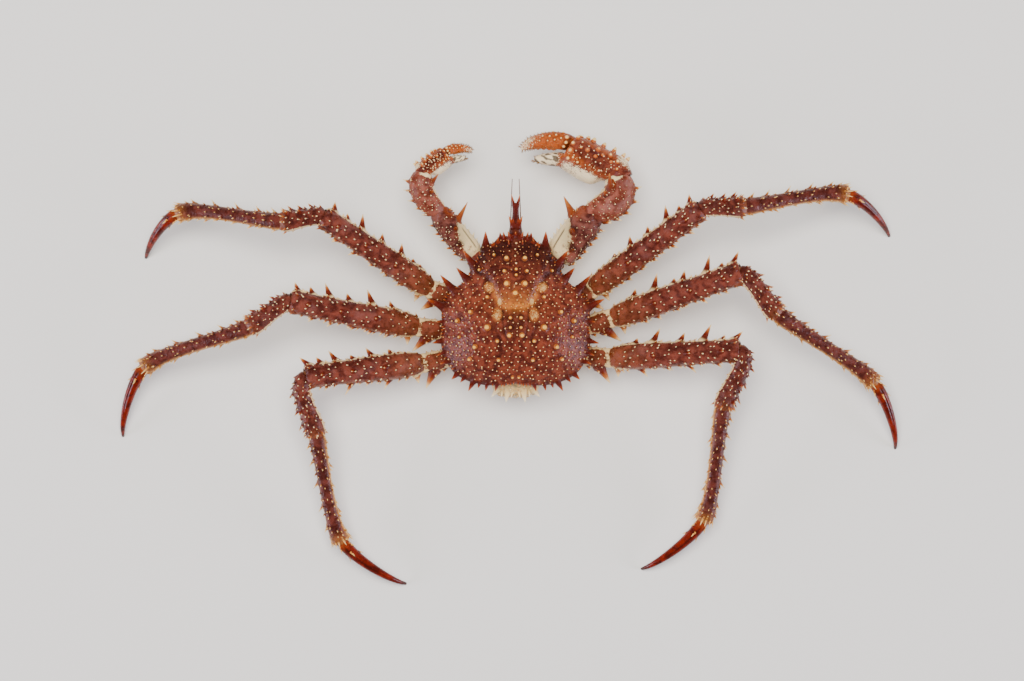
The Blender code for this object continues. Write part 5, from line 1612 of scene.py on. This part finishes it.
# Palm and fixed finger are one piece, as in the animal.
def makePalm(hand):
    name, scale, inner = hand.name, hand.scale, hand.inner
    outward, wide, high = pincer["wrist"][name]
    membranes.append((hand.origin, hand.wrist, wide * 0.85, high / wide, inner))
    skin = Skin(name + "PalmAndFixedFinger")
    root = hand.origin - inner * outward
    frames = [ringFrame(root, hand.wrist, wide * 0.75, high * 0.75, inner),
              ringFrame(root + hand.wrist * 0.3, hand.wrist, wide, high, inner)]
    table, rings = pincer["palm"], pincer["palmRings"]
    for k in range(rings + 1):
        along = table[0][0] + (table[-1][0] - table[0][0]) * k / rings
        across, turn, halfWide, halfHigh = blendColumns(table, along, (1, 2, 3, 4))
        a = math.radians(turn)
        way = hand.way * math.cos(a) + inner * math.sin(a)
        frames.append(ringFrame(hand.at(along, across), way, halfWide * scale, halfHigh * scale,
                                inner * math.cos(a) - hand.way * math.sin(a)))
    last = frames[-1]
    frames += [shifted(last, more * scale, share) for more, share in pincer["palmEnd"]]
    skin.add(loft(frames, 36, 2.15))
    finger = pincer["fixedFinger"]
    frames = []
    for i, (along, across, halfWide, halfHigh) in enumerate(finger):
        before, after = finger[max(i - 1, 0)], finger[min(i + 1, len(finger) - 1)]
        way = hand.way * (after[0] - before[0]) + inner * (after[1] - before[1])
        frames.append(ringFrame(hand.at(along, across), way, halfWide * scale, halfHigh * scale,
                                inner))
    skin.add(loft(frames, 24, 2.1))
    tree = surfaceOf(skin)
    for along, across, size in pincer["fixedTeeth"]:      # broad and worn
        size *= scale
        tooth = ringFrame(hand.at(along, across + 0.6, 0.6), hand.way, size, size, inner)
        skin.add(ball(tooth @ Matrix.Diagonal((1, 1, 1.15 * size, 1))))
    addPalmKnobs(skin, hand, tree)
    skin.merge(pincer["palmVoxel"][name])
    paintPalm(skin, hand)
    skin.finish(clawShell, "claw_shell", name + "_palm")


def addPalmKnobs(skin, hand, tree):
    def onTop(along, across):
        return tree.ray_cast(hand.at(along, across, 40), -hand.up)[0]

    def addKnob(place, *size):
        if place is not None:
            skin.knob(place, *size)

    size = hand.knobScale
    lean = hand.way if hand.isSmall else None
    for along, tall, radius in pincer["edge"]:      # blunt pale cones on the outer edge
        place = tree.ray_cast(hand.at(along, -40, draws.uniform(0, 3)), hand.inner)[0]
        addKnob(place, radius * size, tall * size, pincer["edgeTone"])
    for along, across, radius, height, tone in pincer["bosses"]:
        tone = max(tone, pincer["smallClawTone"] if hand.isSmall else 0.0)
        share = size * pincer["bossShare"]
        addKnob(onTop(along, across), radius * share, height * share, tone, lean)
    small = pincer["smallSet"]
    for number, across in enumerate(pincer["smallRows"][hand.name]):
        for k in range(small["count"]):
            along = small["start"] + k * small["spacing"] + small["shift"] * (number % 2)
            place = onTop(along + draws.uniform(-1.6, 1.6), across + draws.uniform(-1.4, 1.4))
            if place is not None:
                skin.knob(place, pick(small["radius"]), pick(small["height"]),
                          small["tone"], lean)
    grains = pincer["grainSet"]
    for _ in range(pincer["grains"][hand.name]):
        place = onTop(pick(grains["along"]), draws.triangular(*grains["across"]))
        if place is not None:
            skin.knob(place, pick(grains["radius"]), grains["height"])


def paintPalm(skin, hand):
    along, across, lift = hand.measure(skin.co)
    pale, warm, shade = skin.masks["pale"], skin.masks["warm"], skin.masks["shade"]
    finger = step(48.5, 52.0, along) * step(2.0, 4.0, across)
    # white inner half with the fixed finger, underside and outer edge; a rusty patch at its root
    pale += step(2.5, 12.0, across - lift * 0.16) * (0.60 + 0.35 * step(42, 22, along))
    pale -= hill(along, 51, 5.0) * step(4, 9, across) * step(-4, 0, lift) * 0.45
    pale += step(-2.0, -7.0, lift) * 0.85 + finger * (0.4 + 0.3 * step(52, 62, along))
    pale += step(-12.5, -16.0, across) * 0.22 + step(11, 3, along) * step(-8, -14, across) * 0.5
    # rust on the outer edge, before the joint and along the border of the white
    warm += step(-9.0, -14.0, across) * 0.55 + step(42, 48, along) * 0.3
    warm += (1 - finger) * hill(across, 5.0, 3.6) * (0.35 + 0.55 * step(24, 38, along))
    warm += finger * step(60, 50, along) * 0.5
    shade += np.exp(-((across + 2) / 6)**4) * step(6, 12, along) * step(44, 38, along) * 0.3
    scuffs = np.array([noise.noise(Vector((a * 0.16, b * 0.38, c * 0.3)))
                       for a, b, c in zip(along, across, lift)])
    shade += finger * step(0.0, 0.12, scuffs) * step(-2, 1, lift) * 1.1
    shade += step(49, 50.6, along) * step(2.0, -1.0, across) * 0.9      # joint of the finger


def makeFinger(hand):
    scale = hand.scale
    skin = Skin(hand.name + "MovableFinger")
    frames = []
    for k in range(pincer["fingerRings"] + 1):
        place, way, half, nearSide = hand.fingerAt(k / pincer["fingerRings"])
        frames.append(ringFrame(place, way, half, half * pincer["fingerFlat"], nearSide))
    root = [shifted(frames[0], lift * scale, share) for lift, share in pincer["fingerRoot"]]
    skin.add(loft(root + frames, 24, 2.1))
    for t, size in pincer["movableTeeth"]:
        size *= scale
        place, way, half, nearSide = hand.fingerAt(t)
        tooth = ringFrame(place + nearSide * (half - 0.5 * scale), way, size, size, nearSide)
        skin.add(ball(tooth @ Matrix.Diagonal((1, 1, 1.1 * size, 1))))
    for t, degrees, radius, height in pincer["fingerBosses"]:
        place, way, half, nearSide = hand.fingerAt(t)
        a = math.radians(degrees)
        out = nearSide * math.cos(a) + upAxis * math.sin(a) * pincer["fingerFlat"]
        skin.knob(place + out * half, radius * hand.knobScale, height * hand.knobScale)
    skin.merge(pincer["fingerVoxel"][hand.name])
    along, across, lift = hand.measure(skin.co)
    skin.masks["warm"] += 0.9
    # pale point, underside and outer edge; dark root
    skin.masks["pale"] += step(70, 88, along) * 0.50 + step(-1, -5, lift) * 0.3 + 0.08
    skin.masks["pale"] += 0.30 * step(-2, -9, across + 12 - (along - 50) * 0.45)
    skin.masks["shade"] += step(58, 52, along) * 0.5 + step(56, 51, along) * step(-8, -1, across) * 0.5
    skin.finish(clawShell, "claw_shell", hand.name + "_finger")
    addClawTufts(hand)


def addClawTufts(hand):
    tufted = pincer["fingerTufts"]
    for t in np.linspace(tufted["from"], tufted["to"], tufted["count"]):
        place, way, half, nearSide = hand.fingerAt(float(t))
        for turn in tufted["turns"]:
            turn += draws.uniform(-tufted["jitter"], tufted["jitter"])
            a = math.radians(turn)
            out = nearSide * math.cos(a) + upAxis * math.sin(a)
            addTuft(place + out * half * 0.9, out + way * 0.9,
                    pick(tufted["length"]) * hand.knobScale,
                    mapParts["finger"] + hand.isSmall, float(t), turn % 360 / 360)
    tufted = pincer["palmTufts"]
    for along, across, halfWide, _ in pincer["fixedFinger"][2:]:
        for sign in (-1, 1):
            for lift in tufted["lifts"]:
                addTuft(hand.at(along, across + sign * halfWide * 0.85, lift),
                        hand.inner * sign + hand.way * 1.1,
                        pick(tufted["length"]) * hand.knobScale,
                        mapParts["palm"] + hand.isSmall, (along - 50) / 22,
                        (sign + 1.3 + lift * 0.1) / 3)


underside = {
    # y, half width, top, bottom
    "thorax": ((-62, 14, 40, 30), (-52, 20, 40.8, 21), (-36, 20.5, 41, 17),
               (-24, 30.5, 41, 15.5), (0, 35.5, 41, 15), (24, 35.5, 41, 15.5),
               (40, 30, 41, 19), (50, 20, 40.5, 26)),
    "seams": (-42, -24, -8, 8, 23, 36),
    # plates that close the mouth: upper end, lower end, half width, on both sides
    "mouthPlates": (((4.2, -60.5, 37.5), (4.6, -62.5, 24), 4),
                    ((11.4, -58.5, 38.5), (12.6, -56, 23), 3.8),
                    ((17.5, -54, 38), (17, -50, 25), 3.2)),
    "plateProfile": ((0, 0.5), (0.08, 0.85), (0.3, 1), (0.55, 0.86), (0.6, 0.8), (0.66, 0.92),
                     (0.88, 0.8), (1, 0.4)),
    # y, z, half width, half thickness along the folded tail
    "tail": ((51.5, 37, 14.5, 2.8), (56.5, 37.4, 15, 4), (60.6, 34.6, 15.6, 5),
             (61.2, 29.4, 17.4, 6.2), (58.2, 22.4, 20, 6.6), (46.6, 14.6, 25.5, 6),
             (28, 10.6, 23.6, 4.2), (8, 10, 17.4, 3.6), (-8, 10, 10, 2.8),
             (-16, 10.2, 4, 2)),
    # base, tip, radius, curl, tones, on both sides
    "tailSpines": (((13.5, 58.5, 38.5), (20.5, 67.5, 42), 3.9, 0.06, (0.3, 1)),
                   ((6.5, 60.5, 38.5), (8.2, 72, 42), 3.9, 0.06, (0.3, 1)),
                   ((11.5, 63, 39), (12, 67.5, 42), 1.3, 0.05, (0.5, 1)),
                   ((3.2, 64, 39), (3.7, 68.5, 42), 1.3, 0.05, (0.5, 1)),
                   ((17, 60.5, 39), (17.5, 65, 42), 1.3, 0.05, (0.5, 1))),
    "tailKnobs": 150, "thoraxRings": 56, "tailRings": 90,
}
# paths on the left side, with share along and half width
eye = {"root": (8.5, -58, 43.2), "tip": (12, -69.5, 48.6),
       "profile": ((0, 2.4), (.35, 2.3), (.62, 2.6), (.74, 3.4), (.9, 3.1), (1, 1.6))}
antennule = {"sides": 10, "rings": 120, "rows": 40,
             "path": ((4.2, -65, 44.5), (4.6, -73, 47.5), (4.2, -84, 52), (3.6, -100, 58.5),
                      (2.9, -117, 63)),
             "profile": ((0, 1.9), (.1, 1.9), (.22, 1.5), (.34, 0.7), (.7, 0.45), (1, 0.3))}
antenna = {"sides": 12, "rings": 180, "rows": 58,
           "path": ((17.5, -56, 43), (20, -62, 40), (22.5, -62.5, 32), (24, -55, 20),
                    (23, -41, 11), (20, -25, 7.2), (17.5, -8, 4.8)),
           "profile": ((0, 2.6), (.03, 2.7), (.06, 2.2), (.09, 1.6), (.12, 1), (.4, 0.8), (.7, 0.6),
                       (1, 0.4))}
maxilliped = {"joints": (.26, .52, .78), "tufts": (-0.8, 0, 0.8, 2.4, 3.9),      # angles round
              "path": ((9, -46, 15.6), (10.5, -57, 18.5), (10.5, -64.5, 22.5), (7.5, -68.5, 16.5),
                       (4.6, -64.5, 11)),
              "profile": ((0, 2.8), (.2, 3.6), (.42, 3.4), (.6, 2.9), (.8, 2.6), (1, 1.7))}


def makeThorax():
    skin = Skin("breastPlates")
    table, rings = underside["thorax"], underside["thoraxRings"]
    frames = []
    for k in range(rings + 1):
        y = table[0][0] + (table[-1][0] - table[0][0]) * k / rings
        wide, top, bottom = blendColumns(table, y, (1, 2, 3))
        frames.append(ringFrame(Vector((0, y, (top + bottom) / 2)), Vector((0, 1, 0)), wide,
                                (top - bottom) / 2, sideAxis))
    skin.add(loft(frames, 40, 2.4))
    for side in (-1, 1):
        way = Vector((-side * 0.5, -0.8, -0.6))
        for number, (upper, lower, wide) in enumerate(underside["mouthPlates"]):
            upper, lower = mirrored(upper, side), mirrored(lower, side)
            skin.add(spineMesh(upper, lower, wide, 0.05, underside["plateProfile"], 16))
            for k in range(7):
                down = 0.12 + 0.13 * k
                root = upper.lerp(lower, down) + Vector((side * wide * -0.55, -wide * 0.75, 0))
                addTuft(root, way, draws.uniform(1.8, 3.2), mapParts["mouth"] + (side < 0), down,
                        number / 3)
    skin.merge(0.8)
    x, y, _ = skin.co.T
    below = step(0.2, -0.4, skin.normal[:, 2])
    seam = sum(hill(y + abs(x) * 0.15, where, 1.1) for where in underside["seams"]) * below
    seam = np.maximum(seam, hill(x, 0, 0.9) * below)
    skin.co -= skin.normal * seam[:, None]
    mouth = step(-53, -57, y)
    # painted shade in the pressed-in seams and between the first two mouth plates
    skin.stain(pale=1.0 - 0.55 * mouth, warm=0.3 + 0.5 * mouth,
               shade=seam * 0.5 + step(2.4, 0.4, abs(abs(x) - 8.0)) * mouth * 0.4)
    skin.finish(underShell, "pale_cuticle", "thorax")


def makeTail():
    skin = Skin("foldedTailPlates")
    table, rings = [(i, *row) for i, row in enumerate(underside["tail"])], underside["tailRings"]
    points = [Vector((0, y, z)) for _, y, z, _, _ in table]
    last = len(table) - 1
    frames = []
    for k in range(rings + 1):
        place, way = curveThrough(points, k / rings)
        wide, thick = blendColumns(table, k / rings * last, (3, 4))
        ridge = 1 + 0.05 * math.cos(2 * math.pi * k / rings * last * 0.8)
        frames.append(ringFrame(place, way, wide * ridge, thick * (0.9 + 0.12 * ridge),
                                sideAxis))
    skin.add(loft(frames, 36, 2.5))
    for base, tip, *more in underside["tailSpines"]:
        for side in (-1, 1):
            skin.spine(mirrored(base, side), mirrored(tip, side), *more)
    tree = surfaceOf(skin)
    for _ in range(underside["tailKnobs"]):
        t = draws.uniform(0.02, 0.75)
        place, way = curveThrough(points, t)
        wide = blendColumns(table, t * last, (3,))[0]
        out = sideAxis.cross(way)
        if out.y < 0 and out.z < 0:
            out = -out
        place = place + Vector((draws.uniform(-0.9, 0.9) * wide, 0, 0)) + out * 6.0
        skin.knob(tree.find_nearest(place)[0], draws.uniform(0.7, 1.7), draws.uniform(0.6, 1.1),
                  draws.uniform(0.4, 0.9))
    skin.merge(0.75)
    _, y, z = skin.co.T
    # bands of painted shade across the tail, for the gaps between its plates
    folds = np.abs(np.sin((y * 0.9 + z * 1.1) * 0.16))
    skin.stain(pale=0.62, warm=0.4, shade=step(0.25, 0.0, folds) * 0.35)
    skin.finish(underShell, "pale_cuticle", "abdomen")


# Tapered tube through the points, up to a share of the way; grow changes its girth along it.
def tube(points, profile, sides, rings, grow=None, end=1.0, flat=1.0, squareness=2.0):
    frames = []
    for k in range(rings + 1):
        t = k / rings * end
        place, way = curveThrough(points, t)
        half = blendTable(profile, t) * (grow(t) if grow else 1)
        frames.append(ringFrame(place, way, half, half * flat, sideAxis))
    return loft(frames, sides, squareness)


def makeHeadParts(letter, side):
    # eye: short spiny stalk with the cornea at its end
    root, tip = mirrored(eye["root"], side), mirrored(eye["tip"], side)
    way = tip - root
    skin = Skin("eyeStalk_" + letter)
    skin.add(tube((root, tip), eye["profile"], 20, 24, end=0.80))
    unit = way.normalized()
    above = (upAxis - unit * unit.z).normalized()
    for t, tall in ((0.45, 3.2), (0.72, 4.2)):
        base = root + way * t + above * 1.6
        skin.spine(base, base + above * tall * 0.8 + unit * tall * 0.9, 1.0, 0.05)
    skin.merge(0.32)
    skin.stain(warm=0.5)
    skin.finish(backShell, "feeler_cuticle")
    turn = way.to_track_quat("Z", "Y").to_matrix().to_4x4()
    bulge = Matrix.Translation(root + way * 0.86) @ turn @ Matrix.Diagonal((3.3, 3.3, 2.6, 1))
    toPiece("eyeCornea_" + letter, ball(bulge, 32, 20), cornea, "cornea", "eye_" + letter)

    for kind, feeler in (("antennule_", antennule), ("antenna_", antenna)):
        rows = feeler["rows"]

        def ringed(t):
            return 1 + 0.08 * math.cos(2 * math.pi * t * rows) * (1.0 if t > 0.13 else 0.15)

        mesh = tube([mirrored(p, side) for p in feeler["path"]], feeler["profile"],
                    feeler["sides"], feeler["rings"], ringed)
        toPiece(kind + letter + "_feeler", mesh, feelerSkin, "feeler_cuticle", kind + letter)

    skin = Skin("outerMouthpart_" + letter)
    points = [mirrored(p, side) for p in maxilliped["path"]]

    def pinched(t):
        return 1 - 0.16 * sum(math.exp(-((t - s) / 0.02)**2) for s in maxilliped["joints"])

    skin.add(tube(points, maxilliped["profile"], 20, 60, pinched, flat=0.8, squareness=2.2))
    skin.merge(0.45)
    skin.stain(pale=0.8, warm=0.5)
    skin.finish(underShell, "pale_cuticle", "maxilliped_" + letter)
    for t in np.linspace(0.3, 0.97, 16):
        place, along = curveThrough(points, t)
        half = blendTable(maxilliped["profile"], t)
        for a in maxilliped["tufts"]:
            out = Vector((-side * math.cos(a), math.sin(a) * -0.6, -0.35)).normalized()
            addTuft(place + out * half * 0.8, out + along * 0.7, draws.uniform(2.4, 4.2),
                    mapParts["maxilliped"] + (side < 0), float(t), (a + 1) / 6)


# Soft skin that fills each joint: a short barrel across the gap between two plates.
barrel = ((-1, 0.86), (-0.5, 0.93), (0.15, 0.95), (0.6, 0.92), (1, 0.84))      # along, girth


def makeMembranes():
    bm = bmesh.new()
    for place, way, wide, flat, front in membranes:
        pour(bm, [loft([ringFrame(place + way * (along * 2.4), way, wide * share,
                                  wide * share * flat, front) for along, share in barrel], 24, 2.2)])
    toPiece("jointMembranes", closeMesh(bm, "jointMembranes"), jointSkin, "pale_cuticle")


# Tufts of stiff hairs: each hair a thin curved three-sided cone. Every tuft keeps a small patch
# of the OFBake map where its root lies on the unwrap of its part: share along it, share round.
tufts = {
    "hairs": 5, "shortest": 1, "spread": (0.1, 0.34), "heights": (0.7, 1.1), "sag": 0.18,
    "hair": ((-0.1, 0.16), (0.5, 0.12), (1, 0.04)),       # share of the length, radius
    # the map: parts in a row, size of a part's cell and of what it fills of it, edge, patch
    "columns": 4, "cell": (0.245, 0.49), "island": (0.205, 0.43), "edge": 0.02, "patch": 0.003,
}


def makeBristles():
    bm = bmesh.new()
    spots = []
    front = cadBox[0][1] / mm + stanceCentre[1]      # no hair may pass the front of the CAD box
    for place, way, length, (number, along, around) in bristleRoots:
        room = (place.y - front) / max(-way.y, 0.05)
        if room < tufts["shortest"]:
            continue
        length = min(length, room)
        side = way.orthogonal().normalized()
        for k in range(tufts["hairs"]):
            turn = k * 2.4 + draws.uniform(-0.5, 0.5)
            lean = Matrix.Rotation(turn, 3, way) @ side
            ray = (way + lean * pick(tufts["spread"])).normalized()
            tall = length * pick(tufts["heights"])
            sag = Vector((0, 0, tufts["sag"])) * tall
            pour(bm, [loft([ringFrame(place + lean * 0.25 + ray * tall * t - sag * t * t, ray, r, r,
                                      side) for t, r in tufts["hair"]], 3)])
        cell = divmod(number, tufts["columns"])[::-1]
        spots.append([tufts["edge"] + cell[i] * tufts["cell"][i]
                      + min(max(share, 0.0), 1.0) * tufts["island"][i]
                      for i, share in enumerate((along, around))])
    mesh = closeMesh(bm, "bristleTufts")
    corners = np.empty(len(mesh.loops), int)
    mesh.loops.foreach_get("vertex_index", corners)
    each = len(mesh.vertices) // len(spots)      # every tuft has the same number of corners
    turn = (corners % each) * (2 * math.pi / each)
    circle = np.stack((np.cos(turn), np.sin(turn)), 1) * tufts["patch"] / 2
    places = np.array(spots)[corners // each] + circle
    mesh.uv_layers.new(name="OFBake").data.foreach_set("uv", places.ravel())
    toPiece("bristleTufts", mesh, bristle, "feeler_cuticle")


makeCarapace()
print("carapace made")
for name in legs:
    makeLeg(name)
    print(name, "made")
for name in claws:
    makeClaw(name)
    print(name, "made")
makeThorax()
makeTail()
for letter, side in (("R", -1), ("L", 1)):
    makeHeadParts(letter, side)
makeMembranes()
makeBristles()
print("body made,", totals["triangles"], "triangles")


def makeStage():
    bm = bmesh.new()
    bmesh.ops.create_grid(bm, x_segments=2, y_segments=2, size=stage["floorSize"] / 2)
    floor = newObject("studioFloor", closeMesh(bm, "studioFloor"))
    material, tree, shader = newMaterial("matteBackdropPaper")
    feed(tree, shader, {"Base Color": stage["floorColour"], "Roughness": 0.85})
    floor.data.materials.append(material)

    world = bpy.data.worlds.new("softStudio")
    bpy.context.scene.world = world
    world.use_nodes = True
    feed(world.node_tree, world.node_tree.nodes["Background"],
         {"Color": stage["worldColour"], "Strength": stage["worldStrength"]})
    for i, (place, size, power, colour, glares) in enumerate(stage["lights"]):
        light = bpy.data.lights.new("softbox%d" % i, "AREA")
        light.size = size
        light.energy = power
        light.color = linear(colour)
        lamp = newObject("softbox%d" % i, light)
        lamp.location = place
        lamp.visible_glossy = glares
        lamp.rotation_euler = (-Vector(place)).to_track_quat("-Z", "Y").to_euler()

    camera = bpy.data.cameras.new("camera")
    camera.lens = stage["lens"]
    camera.sensor_width = stage["sensor"]
    camera.clip_start = 0.05
    camera.clip_end = 20
    eyePoint = newObject("camera", camera)
    x, y, z = stage["cameraPlace"]
    eyePoint.location = ((x - stanceCentre[0]) * mm, (y - stanceCentre[1]) * mm, z * mm)
    eyePoint.rotation_euler = (0, 0, math.pi)
    bpy.context.scene.camera = eyePoint


makeStage()
print("stage set")

bpy.context.view_layer.update()
